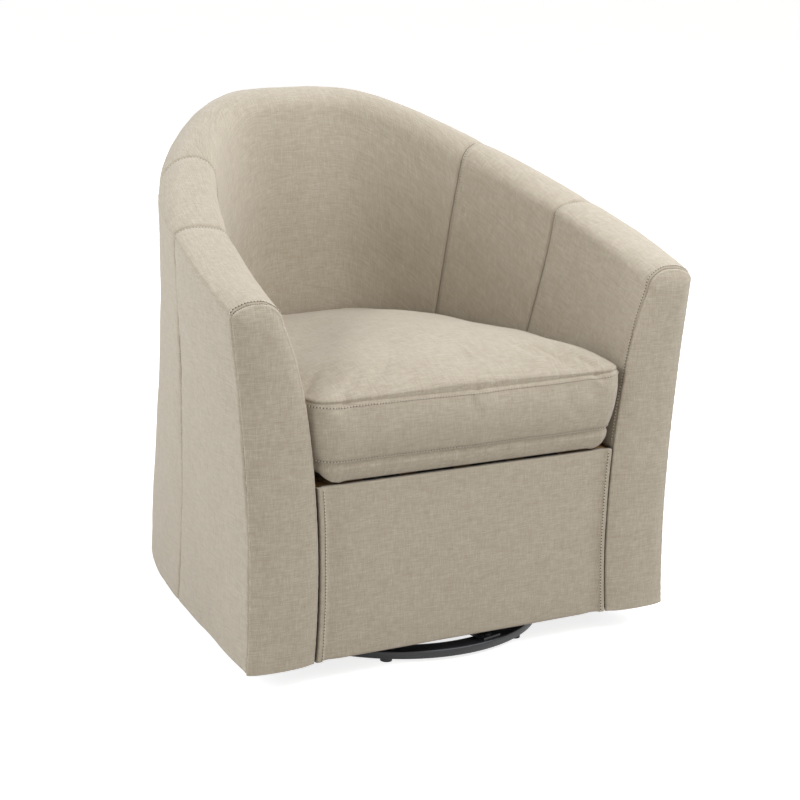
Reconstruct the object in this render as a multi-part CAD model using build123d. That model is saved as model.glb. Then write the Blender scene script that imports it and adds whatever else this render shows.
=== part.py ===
"""Swivel barrel chair: an upholstered tub on a roller-bearing swivel and a low steel ring.

All sizes are millimetres.  The origin is on the floor, +Z is up and the chair faces -Y.
Left and right are those of someone who faces the chair, so left is -X.
"""
from build123d import *
import math
import os

import numpy as np

os.makedirs("parts", exist_ok=True)

# ---------------------------------------------------------------- tub: outline at its foot
FRONT_Y = -350.0              # foot of the arm fronts
BACK_Y = 350.0                # foot of the back
FOOT_Z = 32.0                 # lower edge of the covers
FOOT_HALF_WIDTH = 363.0       # half the width across the arm fronts
SIDE_TAPER = 0.124            # how much the sides close in towards the back
WIDTH_POWER = 0.764           # roundness of the back corners, across
DEPTH_POWER = 0.406           # roundness of the back corners, fore and aft
FRONT_LEAN = 21.0             # how far the arm fronts lean back ...
LEAN_HEIGHT = 530.0           # ... over this height
LEAN_FADE = 0.25              # share of the depth over which the lean fades out

# ---------------------------------------------------------------- tub: wall section
# Each tuple holds one size of the wall's section at four places:
# the arm front, the seam across the arm, the seam beside the back, and the middle of the back.
PLACES = (0.0, 0.343, 0.65, 1.0)
CREST_POWER = 4               # how suddenly the middle of the back differs from its corners
CREST_HEIGHT = (559.0, 623.0, 695.0, 760.0)
CREST_INSET = (17.1, 0.2, 47.0, 88.0)          # crest inwards of the foot
OUTER_ROLL = (43.0, 37.0, 52.0, 46.0)          # crest to the outer seam, across
OUTER_DROP = (11.0, 15.0, 58.0, 90.0)          # crest to the outer seam, down
INNER_ROLL = (40.0, 48.0, 36.0, 46.0)          # crest to the inner shoulder, across
INNER_DROP = (33.0, 18.0, 36.0, 36.0)          # crest to the inner shoulder, down
INNER_SWELL = (105.0, 47.0, 98.0, 172.0)       # fullness of the inside, inwards of the foot
INNER_FOOT = (111.0, 97.0, 97.0, 180.0)        # inner edge at the foot
WAIST = (14.0, 2.0, 0.0, 8.0)                  # outer side drawn in above the foot
ARC = 0.5523                  # handle of a quarter round
SHOULDER_FLARE = 11.0
WAIST_REACH = 0.41            # handle of the outer side at the foot, share of its height
SHOULDER_REACH = 0.197        # handle at the outer seam
SWELL_REACH = 0.19            # handle at the inner shoulder
INNER_FOOT_REACH = 0.337      # handle at the inner foot
INNER_FOOT_FULL = 15.0        # how far the inside swells above the inner foot

# ---------------------------------------------------------------- covers and padding
OUTER_PAD = 9.0               # fabric and wadding outside the frame
TOP_PAD = 22.0                # over the crest rail
INNER_PAD = 34.0              # foam and fabric inside the tub
ARM_FRONT_PAD = 10.0          # on the arm fronts
SEAM_GAP = 0.3                # between two covers, across a seam
EDGE_GAP = 0.7                # between the outer covers and the crest, along the outer seam
LIP = 4.0                     # the crest's cover stands this far inside the outer covers ...
LIP_DROP = 6.0                # ... and reaches this far below their seam
TOP_SHARE = 0.35              # share of the crest's outer roll that the rail's top takes
FIT = 0.3                     # between padding and frame
ARM_SEAM_DEPTH, ARM_SEAM_SLOPE = 0.346, 0.114      # seam across the arm: place and slant
BACK_SEAM_DEPTH, BACK_SEAM_SLOPE = 0.634, 0.08     # seam beside the back
STATION_DEPTHS = (0.06, 0.15, 0.25, 0.35, 0.44, 0.53, 0.6)
STATION_TURNS = (20.0, 25.0, 31.0, 38.0, 46.0, 56.0, 67.0, 79.0)

# ---------------------------------------------------------------- frame
FRAME_FOOT_Z = 36.0           # underside of the wooden frame
RIB = 18.0                    # plywood
DECK_RIB_Z = 262.0            # underside of the rib at seat height
DECK_Z = 284.0                # top of the seat rails
ARM_BOARD = 18.0
CHORD_ROOM = 3.0              # room for the bulge of the outer covers between the frame's corners
CREST_RAIL_HEIGHT = 44.0
POST_WIDTH = 36.0
POST_DEPTH = 34.0
BASE_RIB_WIDTH = 54.0
RAIL = 22.0                   # seat rails
RAIL_HEIGHT = 70.0
RAIL_TO_ARM = 114.0           # end of the front rail inside the tub's half width
SIDE_RAIL_TO_ARM = 155.0      # middle of the side rails inside the tub's half width
FRONT_RAIL_Y = -318.0         # its front face
BACK_RAIL_Y = 110.0           # front face of the back rail
CLEAT_WIDTH = 34.0
CLEAT_SETBACK = 4.0           # behind the front rail's face
BLOCK_SIDE = 58.0             # corner blocks
BLOCK_HEIGHT = 40.0
FRONT_BOARD = 12.0

# ---------------------------------------------------------------- webbing and deck
BAND_WIDTH = 60.0
BAND = 1.5
LONG_BANDS = 4
LONG_BAND_PITCH = 92.0
CROSS_BANDS = 3
CROSS_BAND_PITCH = 112.0
DECK_PAD = 13.0

# ---------------------------------------------------------------- seat cushion and front panel
CUSHION_TOP_Z = 475.0
CUSHION_FRONT_Y = -346.0
CUSHION_CORNER_R = 34.0
CUSHION_ROOM = 1.9            # between the cushion and the tub
CUSHION_COVER = 6.0           # cover above and below the foam core
LOWER_SEAM_Z = 322.0
UPPER_SEAM_Z = 411.0
# Crown above the upper seam: (share of the crown's height, inset from the outline)
CROWN = ((0.0, 3), (0.25, 10), (0.52, 25), (0.76, 50), (0.92, 86), (1.0, 135))
# Rounding under the lower seam: (share of its height, inset)
UNDER_ROLL = ((0.0, 32), (0.3, 10), (1.0, 3))
CORE_EDGE = 11.0              # foam core inside the cover, at the seams
CORE_ROOM = 2.5               # between the core and its cover
CORE_CROWN = 110.0            # flat top of the foam core inside the outline
PANEL_ROOM = 1.5              # to the arm fronts, at each side
PANEL_TOP_Z = 299.0
# Edges of the panel: (share of its height, how far its front is drawn in)
PANEL_EDGES = ((0, 4), (0.014, 1.2), (0.04, 0), (0.28, 0), (0.52, 0), (0.76, 0), (0.96, 0),
               (0.986, 1.2), (1, 4))
PANEL_FRONT_Y = -346.0

# ---------------------------------------------------------------- swivel and ring base
SWIVEL_Y = -114.0
GLIDE_COUNT = 6
GLIDE_R = 9.0
GLIDE_HEIGHT = 6.0
RING_R = 237.0                # outer radius
RING_WIDTH = 30.0
RING_HEIGHT = 12.0
RING_WALL = 2.5
ARM_COUNT = 4                 # arms of the spider
BASE_TURN = 13.0              # how far the base stands turned under the seat, degrees
SPIDER = 4.0
SPIDER_ARM_WIDTH = 34.0
SPIDER_FOOT = 41.0            # the arms lie on the ring from here to its edge ...
SPIDER_RISE = 68.0            # ... and rise over this length inside it
RIVET_R = 3.0
RIVET_HEAD_R = 5.5
RIVET_HEAD = 2.0
PLATE = 3.0                   # bearing plates
PLATE_GAP = 5.0               # between the two plates
LOWER_PLATE_R = 112.0
UPPER_PLATE_SIDE = 236.0
UPPER_PLATE_CORNER_R = 22.0
RACE_R = 84.0                 # middle of the rollers
ROLLER_R = 2.45
ROLLER_LENGTH = 12.0
ROLLER_COUNT = 12
ROLLER_PLAY = 0.3
CAGE = 2.0
CAGE_HALF_WIDTH = 10.0
PIVOT_R = 6.0
PIVOT_PLAY = 0.3
PIVOT_HEAD_R = 11.0
PIVOT_HEAD = 3.0
NUT_R = 10.0
NUT = 8.0
BOARD = 18.0                  # mounting boards
BOARD_WIDTH = 88.0
BOARD_PITCH = 172.0
BOARD_HALF_LENGTH = 276.0
SCREW_R = 2.5
SCREW_LENGTH = 14.0
SCREW_HEAD_R = 5.0
SCREW_HEAD = 2.5
SCREW_SPACING = 172.0
DUST_COVER = 1.5
DUST_HOLE_R = 176.0

# ---------------------------------------------------------------- what follows from these
DEPTH = BACK_Y - FRONT_Y
ARM_BOARD_FACE = ARM_FRONT_PAD + FIT                    # depth of the arm board's front face
COVER_START = (ARM_FRONT_PAD + SEAM_GAP) / DEPTH
FRAME_START = (ARM_BOARD_FACE + ARM_BOARD + FIT) / DEPTH
BOARD_Z = FRAME_FOOT_Z + RIB                            # underside of the mounting boards
UPPER_PLATE_Z = BOARD_Z - PLATE
LOWER_PLATE_Z = UPPER_PLATE_Z - PLATE_GAP - PLATE
ROLLER_Z = UPPER_PLATE_Z - PLATE_GAP / 2
SPIDER_HUB_Z = LOWER_PLATE_Z - SPIDER
RING_TOP_Z = GLIDE_HEIGHT + RING_HEIGHT
SPIDER_FOOT_R = RING_R - SPIDER_FOOT
SPIDER_HUB_R = SPIDER_FOOT_R - SPIDER_RISE
RAIL_HALF_SPAN = FOOT_HALF_WIDTH - RAIL_TO_ARM
SIDE_RAIL_X = FOOT_HALF_WIDTH - SIDE_RAIL_TO_ARM
RING_MIDDLE_R = RING_R - RING_WIDTH / 2
GLIDE_RING_R = RING_R - RING_WALL - GLIDE_R
FRONT_BOARD_Y = FRONT_RAIL_Y - FRONT_BOARD
WEBBING_TOP_Z = DECK_Z + 2 * BAND
INSIDE_FOOT_Z = WEBBING_TOP_Z + FIT                     # lower edge of the inside panels
CUSHION_BOTTOM_Z = WEBBING_TOP_Z + DECK_PAD + 2 * FIT


# ================================================================ the tub's form
def along(depth, sizes):
    """A size of the section at a depth of 0 (front) to 1 (back): a smooth curve through four."""
    places = np.array(PLACES)
    basis = np.stack([places**0, places, places**2, places**CREST_POWER], axis=1)
    factors = np.linalg.solve(basis, np.array(sizes))
    return float(factors @ np.array([1.0, depth, depth**2, depth**CREST_POWER]))


def turn_at(depth):
    """The angle of the section at a depth: 0 across an arm, 90 degrees at the back's middle."""
    return math.asin(min(depth, 1.0) ** (1 / DEPTH_POWER))


def depth_at(turn):
    return math.sin(turn) ** DEPTH_POWER


class Section:
    """The wall's section at one angle: r runs inwards from the foot of the outer side, z up."""

    def __init__(self, turn, side):
        self.turn, self.side = turn, side
        self.depth = depth_at(turn)
        self.y = FRONT_Y + DEPTH * self.depth
        width = FOOT_HALF_WIDTH - SIDE_TAPER * (self.y - FRONT_Y)
        self.x = width * abs(math.cos(turn)) ** WIDTH_POWER
        self.lean = FRONT_LEAN / LEAN_HEIGHT * math.exp(-self.depth / LEAN_FADE)

    def size(self, sizes):
        return along(self.depth, sizes)

    def point(self, r, z):
        x = self.x - r * math.cos(self.turn)
        y = self.y - r * math.sin(self.turn) + self.lean * (z - FOOT_Z)
        return Vector(self.side * x, y, z)

    def curve(self, *points):
        return Edge.make_bezier(*[self.point(r, z) for r, z in points])

    def line(self, start, end):
        return Edge.make_line(self.point(*start), self.point(*end))

    def outer_side(self, pad=0.0, foot=FOOT_Z, top=None):
        """Control points of the outer side, from the foot to the outer seam."""
        crest = self.size(CREST_HEIGHT)
        seam = crest - self.size(OUTER_DROP)
        top = seam if top is None else top
        r = self.size(CREST_INSET) - self.size(OUTER_ROLL)
        height = seam - FOOT_Z
        full = [
            (pad, FOOT_Z),
            (self.size(WAIST) + pad, FOOT_Z + WAIST_REACH * height),
            (r + SHOULDER_FLARE + pad, seam - SHOULDER_REACH * height),
            (r + pad, seam),
        ]
        return trimmed(full, foot, top)

    def roll(self):
        """Control points of the two halves of the rolled crest."""
        crest = self.size(CREST_HEIGHT)
        middle = self.size(CREST_INSET)
        outer, inner = middle - self.size(OUTER_ROLL), middle + self.size(INNER_ROLL)
        fall_out, fall_in = self.size(OUTER_DROP), self.size(INNER_DROP)
        up = [
            (outer, crest - fall_out),
            (outer, crest - (1 - ARC) * fall_out),
            (middle - ARC * (middle - outer), crest),
            (middle, crest),
        ]
        down = [
            (middle, crest),
            (middle + ARC * (inner - middle), crest),
            (inner, crest - (1 - ARC) * fall_in),
            (inner, crest - fall_in),
        ]
        return up, down

    def hollow(self, margin=0.0):
        """The corners of the room under the crest and inside padding, outer lip to inner foot."""
        up, down = self.roll()
        crest, middle = up[3][1], up[3][0]
        top = crest - TOP_PAD - margin
        lip_z = min(up[0][1], crest - TOP_PAD) - LIP_DROP
        foot = self.inner_side(down[3], INSIDE_FOOT_Z)[3]
        return [
            (up[0][0] + OUTER_PAD + LIP + margin, lip_z),
            (middle - TOP_SHARE * (middle - up[0][0]) + margin, top),
            (down[3][0] - INNER_PAD - margin, top),
            (foot[0] - INNER_PAD - margin, INSIDE_FOOT_Z),
        ]

    def inner_side(self, start, foot, pad=0.0):
        """Control points of the inner side, from the inner shoulder down."""
        height = start[1] - FOOT_Z
        full = [
            start,
            (self.size(INNER_SWELL) - pad, start[1] - SWELL_REACH * height),
            (self.size(INNER_FOOT) + INNER_FOOT_FULL - pad, FOOT_Z + INNER_FOOT_REACH * height),
            (self.size(INNER_FOOT) - pad, FOOT_Z),
        ]
        return trimmed(full, start[1], foot)


def bezier_at(points, t):
    weights = ((1 - t) ** 3, 3 * (1 - t) ** 2 * t, 3 * (1 - t) * t**2, t**3)
    return tuple(sum(w * p[i] for w, p in zip(weights, points)) for i in (0, 1))


def parameter_at(points, z):
    """Where a curve that only rises or only falls passes a height."""
    low, high = 0.0, 1.0
    rising = points[3][1] > points[0][1]
    for _ in range(40):
        middle = (low + high) / 2
        if (bezier_at(points, middle)[1] < z) == rising:
            low = middle
        else:
            high = middle
    return (low + high) / 2


def cut_bezier(points, t):
    """The part of a cubic curve before t and the part after it."""
    def between(a, b):
        return tuple(p + t * (q - p) for p, q in zip(a, b))
    ab, bc, cd = (between(points[i], points[i + 1]) for i in range(3))
    abc, bcd = between(ab, bc), between(bc, cd)
    middle = between(abc, bcd)
    return [points[0], ab, abc, middle], [middle, bcd, cd, points[3]]


def trimmed(points, start_z, end_z):
    """The stretch of a rising or falling curve between two heights."""
    if abs(end_z - points[3][1]) > 1e-6:
        points = cut_bezier(points, parameter_at(points, end_z))[0]
    if abs(start_z - points[0][1]) > 1e-6:
        points = cut_bezier(points, parameter_at(points, start_z))[1]
    return points


def stations(start_depth):
    """The sections of the whole tub, from the left arm front round the back to the right."""
    turns = [turn_at(start_depth)] + [turn_at(d) for d in STATION_DEPTHS]
    turns += [math.radians(a) for a in STATION_TURNS]
    half = [Section(t, -1) for t in turns]
    other = [Section(t, 1) for t in reversed(turns)]
    return half + [Section(math.pi / 2, -1)] + other


def tub_loft(profile, start_depth):
    """A solid that follows the tub: profile(section) gives the edges of each section."""
    return Solid.make_loft([Wire(profile(s)) for s in stations(start_depth)], True)


def shell_profile(s):
    """The whole wall, covers and all."""
    outer = s.outer_side()
    up, down = s.roll()
    inner = s.inner_side(down[3], FOOT_Z)
    edges = [s.curve(*part) for part in (outer, up, down, inner)]
    return edges + [s.line(inner[3], outer[0])]


def outer_cover_profile(s):
    face = s.outer_side()
    back = s.outer_side(pad=OUTER_PAD)
    return [
        s.curve(*face),
        s.line(face[3], back[3]),
        s.curve(*reversed(back)),
        s.line(back[0], face[0]),
    ]


def inner_cover_profile(s):
    """Crest and inside: foam and fabric from the outer seam over the crest to the deck."""
    up, down = s.roll()
    inner = s.inner_side(down[3], INSIDE_FOOT_Z)
    edge = (up[0][0], up[0][1] + EDGE_GAP)
    lip = (edge[0] + OUTER_PAD + EDGE_GAP, edge[1])
    up = [edge, (edge[0], up[1][1] + EDGE_GAP)] + up[2:]
    corners = [inner[3]] + s.hollow()[::-1] + [lip, edge]
    lines = [s.line(corners[i], corners[i + 1]) for i in range(len(corners) - 1)]
    return [s.curve(*up), s.curve(*down), s.curve(*inner)] + lines


def outer_room(s, z):
    """How far in the outer covers reach at a height."""
    side = s.outer_side(pad=OUTER_PAD + EDGE_GAP)
    return bezier_at(side, parameter_at(side, z))[0]


def cavity_profile(s, margin=0.3):
    """The room inside the wall, where the wooden frame stands."""
    lip, outer_top, inner_top, inner_foot = s.hollow(margin)
    middle_z = (FRAME_FOOT_Z + lip[1]) / 2
    levels = (lip[1], middle_z, FRAME_FOOT_Z)
    outer = [(outer_room(s, z) + CHORD_ROOM + margin, z) for z in levels]
    foot = (inner_foot[0], FRAME_FOOT_Z)
    outer[0] = (max(outer[0][0], lip[0]), lip[1])
    corners = [outer_top, inner_top, foot] + outer[::-1]
    return [s.line(corners[i], corners[(i + 1) % 6]) for i in range(6)]


def rail_profile(s, margin=0.3):
    """The bent rail under the crest."""
    lip, outer_top, inner_top, inner_foot = s.hollow(margin)
    floor = s.size(CREST_HEIGHT) - TOP_PAD - CREST_RAIL_HEIGHT
    knee_z = max(lip[1], floor + 0.1 * (outer_top[1] - floor))
    per_height = (outer_top[0] - lip[0]) / (outer_top[1] - lip[1])
    knee = (lip[0] + per_height * (knee_z - lip[1]), knee_z)
    if floor > lip[1]:
        outer = lip[0] + per_height * (floor - lip[1])
    else:
        outer = max(lip[0], outer_room(s, floor) + CHORD_ROOM + margin)
        knee = (max(outer, knee[0]), knee_z)
    fall = (inner_top[1] - floor) / (inner_top[1] - inner_foot[1])
    inner = inner_top[0] + fall * (inner_foot[0] - inner_top[0])
    corners = [outer_top, inner_top, (inner, floor), (outer, floor), knee]
    return [s.line(corners[i], corners[(i + 1) % 5]) for i in range(5)]


def seam_plane(depth, slope, side, shift=0.0):
    """The slanted plane of a seam in the wall, facing the back."""
    s = Section(turn_at(depth), side)
    along_wall = Vector(-side * math.sin(s.turn), math.cos(s.turn), 0)
    origin = s.point(0, s.size(CREST_HEIGHT)) + along_wall * shift
    normal = along_wall + Vector(0, 0, slope)
    return Plane(origin=origin, z_dir=normal)


def half_room(plane, reach=1600.0):
    """Everything behind a plane, as a large block."""
    return plane * Pos(0, 0, reach / 2) * Box(reach, reach, reach)


def behind(solid, depth, slope, side, shift=0.0):
    return solid & half_room(seam_plane(depth, slope, side, shift))


def before(solid, depth, slope, side, shift=0.0):
    return solid - half_room(seam_plane(depth, slope, side, shift))


def on_side(shape, side):
    """The half of a shape on one side of the chair."""
    return shape & Pos(side * 500, 0, 400) * Box(1000, 1600, 1600)


# ================================================================ covers
def outer_covers():
    cover = tub_loft(outer_cover_profile, COVER_START)
    seam = (ARM_SEAM_DEPTH, ARM_SEAM_SLOPE)
    parts = {}
    back = cover
    for side, name in ((-1, "left"), (1, "right")):
        half = on_side(cover, side)
        parts[f"outer_side_cover_{name}"] = before(half, *seam, side, -SEAM_GAP / 2)
        back = back - (half - half_room(seam_plane(*seam, side, SEAM_GAP / 2)))
    parts["outer_back_cover"] = back
    return parts


def inner_covers():
    cover = tub_loft(inner_cover_profile, COVER_START)
    arm, back_seam = (ARM_SEAM_DEPTH, ARM_SEAM_SLOPE), (BACK_SEAM_DEPTH, BACK_SEAM_SLOPE)
    parts = {}
    back = cover
    for side, name in ((-1, "left"), (1, "right")):
        half = on_side(cover, side)
        parts[f"arm_front_panel_{name}"] = before(half, *arm, side, -SEAM_GAP / 2)
        rear = behind(half, *arm, side, SEAM_GAP / 2)
        parts[f"arm_rear_panel_{name}"] = before(rear, *back_seam, side, -SEAM_GAP / 2)
        back = back - (half - half_room(seam_plane(*back_seam, side, SEAM_GAP / 2)))
    parts["inside_back_panel"] = back
    return parts


def arm_fronts():
    """The padded covers of the arm fronts."""
    parts = {}
    for side, name in ((-1, "left"), (1, "right")):
        ends = [Section(turn_at(d / DEPTH), side) for d in (0, ARM_FRONT_PAD)]
        parts[f"arm_front_cover_{name}"] = Solid.make_loft([Wire(shell_profile(s)) for s in ends], True)
    return parts


# ================================================================ wooden frame
def arm_front_boards():
    """The plywood boards behind the arm front covers."""
    parts = {}
    for side, name in ((-1, "left"), (1, "right")):
        ends = [Section(turn_at(d / DEPTH), side) for d in (ARM_BOARD_FACE, ARM_BOARD_FACE + ARM_BOARD)]
        parts[f"arm_front_board_{name}"] = Solid.make_loft([Wire(cavity_profile(s)) for s in ends], True)
    return parts


def plan_slab(z, height, pad, start_depth):
    """A slab that fills the tub's plan inside the outer side, closed across the front."""
    points = []
    for s in stations(start_depth):
        side = s.outer_side(pad=pad)
        r = max(bezier_at(side, parameter_at(side, level))[0] for level in (z, z + height))
        flat = s.point(r, z + height)
        points.append(Vector(flat.X, flat.Y, z))
    return extrude(Face(Wire.make_polygon(points)), height, dir=(0, 0, 1))


def block(x, y, z, centre_x=0.0, front_y=0.0, low_z=0.0):
    """A board placed by the middle of its width, its front face and its underside."""
    return Pos(centre_x, front_y + y / 2, low_z + z / 2) * Box(x, y, z)


def base_rib():
    slab = plan_slab(FRAME_FOOT_Z, RIB, OUTER_PAD + 1, FRAME_START)
    room = plan_slab(FRAME_FOOT_Z, RIB, OUTER_PAD + BASE_RIB_WIDTH, 0.0)
    return slab - room


def deck_rib():
    slab = plan_slab(DECK_RIB_Z, RIB, OUTER_PAD + 1, FRAME_START)
    width = 2 * (SIDE_RAIL_X + RAIL / 2)
    length = BACK_RAIL_Y + RAIL - FRONT_Y
    slab -= block(width, length, RIB, 0, FRONT_Y, DECK_RIB_Z)
    width = 2 * (RAIL_HALF_SPAN + CLEAT_WIDTH)
    length = FRONT_RAIL_Y + CLEAT_SETBACK + RAIL - FRONT_Y
    return slab - block(width, length, RIB, 0, FRONT_Y, DECK_RIB_Z)


def crest_rails():
    """The bent rail under the crest, in three lengths that meet at the arm posts."""
    rail = tub_loft(rail_profile, FRAME_START)
    parts = {}
    back = rail
    for side, name in ((-1, "left"), (1, "right")):
        half = on_side(rail, side)
        parts[f"arm_rail_{name}"] = before(half, ARM_SEAM_DEPTH, 0, side)
        back = back - (half - half_room(seam_plane(ARM_SEAM_DEPTH, 0, side)))
    parts["crest_rail"] = back
    return parts


def posts():
    """Posts between the base rib and the crest rail, cut round the deck rib."""
    cavity = tub_loft(cavity_profile, FRAME_START)
    rail = tub_loft(rail_profile, FRAME_START)
    places = [(turn_at(ARM_SEAM_DEPTH), "arm"), (turn_at(BACK_SEAM_DEPTH), "back")]
    levels = ((FRAME_FOOT_Z + RIB, DECK_RIB_Z), (DECK_RIB_Z + RIB, CREST_HEIGHT[3]))
    parts = {}
    for side, name in ((-1, "left"), (1, "right")):
        for turn, kind in places:
            s = Section(turn, side)
            solids = []
            for low, high in levels:
                middle = s.point(OUTER_PAD + 4 + POST_DEPTH / 2, (low + high) / 2)
                plank = Box(POST_DEPTH, POST_WIDTH, high - low)
                turned = Rot(0, 0, side * math.degrees(turn)) * plank
                pieces = ((Pos(*middle) * turned) & cavity - rail).solids()
                solids.append(max(pieces, key=lambda piece: piece.volume))
            parts[f"{kind}_post_{name}"] = Compound(solids)
    return parts


def seat_rails():
    low = DECK_Z - RAIL_HEIGHT
    parts = {}
    parts["front_rail"] = block(2 * RAIL_HALF_SPAN, RAIL, RAIL_HEIGHT, 0, FRONT_RAIL_Y, low)
    side_start = FRONT_RAIL_Y + RAIL
    side_length = BACK_RAIL_Y - side_start
    back_length = 2 * SIDE_RAIL_X + RAIL
    parts["back_rail"] = block(back_length, RAIL, RAIL_HEIGHT, 0, BACK_RAIL_Y, low)
    for side, name in ((-1, "left"), (1, "right")):
        rail = block(RAIL, side_length, RAIL_HEIGHT, side * SIDE_RAIL_X, side_start, low)
        parts[f"side_rail_{name}"] = rail
        cleat_x = side * (RAIL_HALF_SPAN + CLEAT_WIDTH / 2)
        height = DECK_Z - FRAME_FOOT_Z
        cleat = block(CLEAT_WIDTH, RAIL, height, cleat_x, FRONT_RAIL_Y + CLEAT_SETBACK, FRAME_FOOT_Z)
        parts[f"front_cleat_{name}"] = cleat
    height = DECK_Z - FRAME_FOOT_Z
    board = block(2 * RAIL_HALF_SPAN, FRONT_BOARD, height, 0, FRONT_BOARD_Y, FRAME_FOOT_Z)
    parts["front_board"] = board
    return parts


def corner_blocks():
    """Three-cornered glue blocks inside the seat frame."""
    inside_x = SIDE_RAIL_X - RAIL / 2
    low = DECK_Z - RAIL_HEIGHT
    corners = []
    for side in (-1, 1):
        for y, way in ((FRONT_RAIL_Y + RAIL, 1), (BACK_RAIL_Y, -1)):
            x = side * inside_x
            points = [(x, y), (x - side * BLOCK_SIDE, y), (x, y + way * BLOCK_SIDE)]
            face = make_face(Polyline(*points, close=True))
            corners.append(Pos(0, 0, low) * extrude(face, BLOCK_HEIGHT, dir=(0, 0, 1)))
    return Compound([c.solid() for c in corners])


def webbing():
    """Elastic bands across the seat frame, the lengthwise ones on top."""
    half = SIDE_RAIL_X + RAIL / 2
    first = FRONT_RAIL_Y
    length = BACK_RAIL_Y + RAIL - first
    middle = first + length / 2
    cross, long = [], []
    for i in range(CROSS_BANDS):
        y = middle + (i - (CROSS_BANDS - 1) / 2) * CROSS_BAND_PITCH
        cross.append(block(2 * half, BAND_WIDTH, BAND, 0, y - BAND_WIDTH / 2, DECK_Z))
    for i in range(LONG_BANDS):
        x = (i - (LONG_BANDS - 1) / 2) * LONG_BAND_PITCH
        long.append(block(BAND_WIDTH, length, BAND, x, first, DECK_Z + BAND))
    bands = {"cross_webbing": cross, "long_webbing": long}
    return {name: Compound([b.solid() for b in band]) for name, band in bands.items()}


# ================================================================ seat
def inside_point(s, z, inset=0.0):
    """The point of the tub's inside at one section and height, moved into the seat's room."""
    inner = s.inner_side(s.roll()[1][3], FOOT_Z)
    return s.point(bezier_at(inner, parameter_at(inner, z))[0] + inset, z)


def cushion_outline(z, inset):
    """The tub's inside at one height, closed by a straight front with round corners."""
    corner = CUSHION_CORNER_R
    front = CUSHION_FRONT_Y + inset
    corner_depth = (front + corner - FRONT_Y) / DEPTH
    reach = STATION_DEPTHS[-1] - corner_depth
    depths = [corner_depth + share * reach for share in (0.25, 0.5, 0.75, 1.0)]
    turns = [turn_at(d) for d in depths] + [math.radians(a) for a in STATION_TURNS[1::2]]
    side_points = [inside_point(Section(t, -1), z, CUSHION_ROOM + inset) for t in turns]
    others = [Vector(-p.X, p.Y, z) for p in reversed(side_points)]
    middle = inside_point(Section(math.pi / 2, -1), z, CUSHION_ROOM + inset)
    x = inside_point(Section(turn_at(corner_depth), 1), z, CUSHION_ROOM + inset).X
    start, end = Vector(-x, front + corner, z), Vector(x, front + corner, z)
    rear = Polyline(start, *side_points, middle, *others, end)
    bend = corner * (1 - math.sqrt(0.5))
    right = ThreePointArc(end, (x - bend, front + bend, z), (x - corner, front, z))
    left = ThreePointArc((corner - x, front, z), (bend - x, front + bend, z), start)
    front_line = Line((x - corner, front, z), (corner - x, front, z))
    return Wire([*rear.edges(), right.edge(), front_line.edge(), left.edge()])


def stacked(levels):
    """A solid through the cushion's outlines at these heights and insets."""
    return Solid.make_loft([cushion_outline(z, inset) for z, inset in levels], True)


def cushion_form():
    """Crowned above, rounded below, the band between the two seams slightly full."""
    low, high = CUSHION_BOTTOM_Z, CUSHION_TOP_Z
    levels = [(low + share * (LOWER_SEAM_Z - low), inset) for share, inset in UNDER_ROLL]
    levels.append(((LOWER_SEAM_Z + UPPER_SEAM_Z) / 2, 0))
    levels += [(UPPER_SEAM_Z + share * (high - UPPER_SEAM_Z), inset) for share, inset in CROWN]
    return stacked(levels)


def foam_core(room=0.0):
    """The foam block inside the cushion, or with some room round it the hollow for it."""
    return stacked([
        (CUSHION_BOTTOM_Z + CUSHION_COVER - room, UNDER_ROLL[0][1] + CORE_EDGE - room),
        (LOWER_SEAM_Z, CORE_EDGE - room),
        (UPPER_SEAM_Z, CORE_EDGE - room),
        (CUSHION_TOP_Z - CUSHION_COVER + room, CORE_CROWN + CORE_EDGE - room),
    ])


def seat_cushion():
    return {
        "seat_cushion_cover": cushion_form() - foam_core(CORE_ROOM),
        "seat_cushion_foam": foam_core(),
    }


def deck_pad():
    outline = cushion_outline(WEBBING_TOP_Z + FIT, 30)
    return extrude(Face(outline), DECK_PAD, dir=(0, 0, 1))


def front_panel():
    """The padded panel under the cushion, leaning back with the arm fronts."""
    s = Section(0.0, 1)
    curve = s.inner_side(s.roll()[1][3], FOOT_Z)
    back = FRONT_BOARD_Y - FIT
    outlines = []
    for share, inset in PANEL_EDGES:
        z = FOOT_Z + share * (PANEL_TOP_Z - FOOT_Z)
        x = s.point(bezier_at(curve, parameter_at(curve, z))[0] + PANEL_ROOM, z).X
        front = PANEL_FRONT_Y + FRONT_LEAN / LEAN_HEIGHT * (z - FOOT_Z) + inset
        corners = [(-x, front, z), (x, front, z), (x, back, z), (-x, back, z)]
        outlines.append(Wire.make_polygon([Vector(*c) for c in corners]))
    return Solid.make_loft(outlines, True)


def dust_cover():
    sheet = plan_slab(FRAME_FOOT_Z - DUST_COVER, DUST_COVER, OUTER_PAD + 3, FRAME_START)
    return sheet - Pos(0, SWIVEL_Y, FRAME_FOOT_Z) * Cylinder(DUST_HOLE_R, 4 * DUST_COVER)


# ================================================================ base and swivel
def round_the_swivel(shape, radius, count, start=0.0):
    """Copies of a shape on a circle round the swivel's axis, each turned to face outwards."""
    step = 360.0 / count
    places = [Rot(0, 0, start + i * step) * Pos(radius, 0, 0) for i in range(count)]
    return Compound([(Pos(0, SWIVEL_Y, 0) * place * shape).solid() for place in places])


def turned_solid(*points):
    """A solid of revolution about the swivel's axis from radius and height."""
    profile = make_face(Polyline(*[(r, 0, z) for r, z in points], close=True))
    return Pos(0, SWIVEL_Y, 0) * revolve(profile, Axis.Z)


def disc(radius, height, low_z, x=0.0, y=SWIVEL_Y):
    return Pos(x, y, low_z + height / 2) * Cylinder(radius, height)


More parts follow.
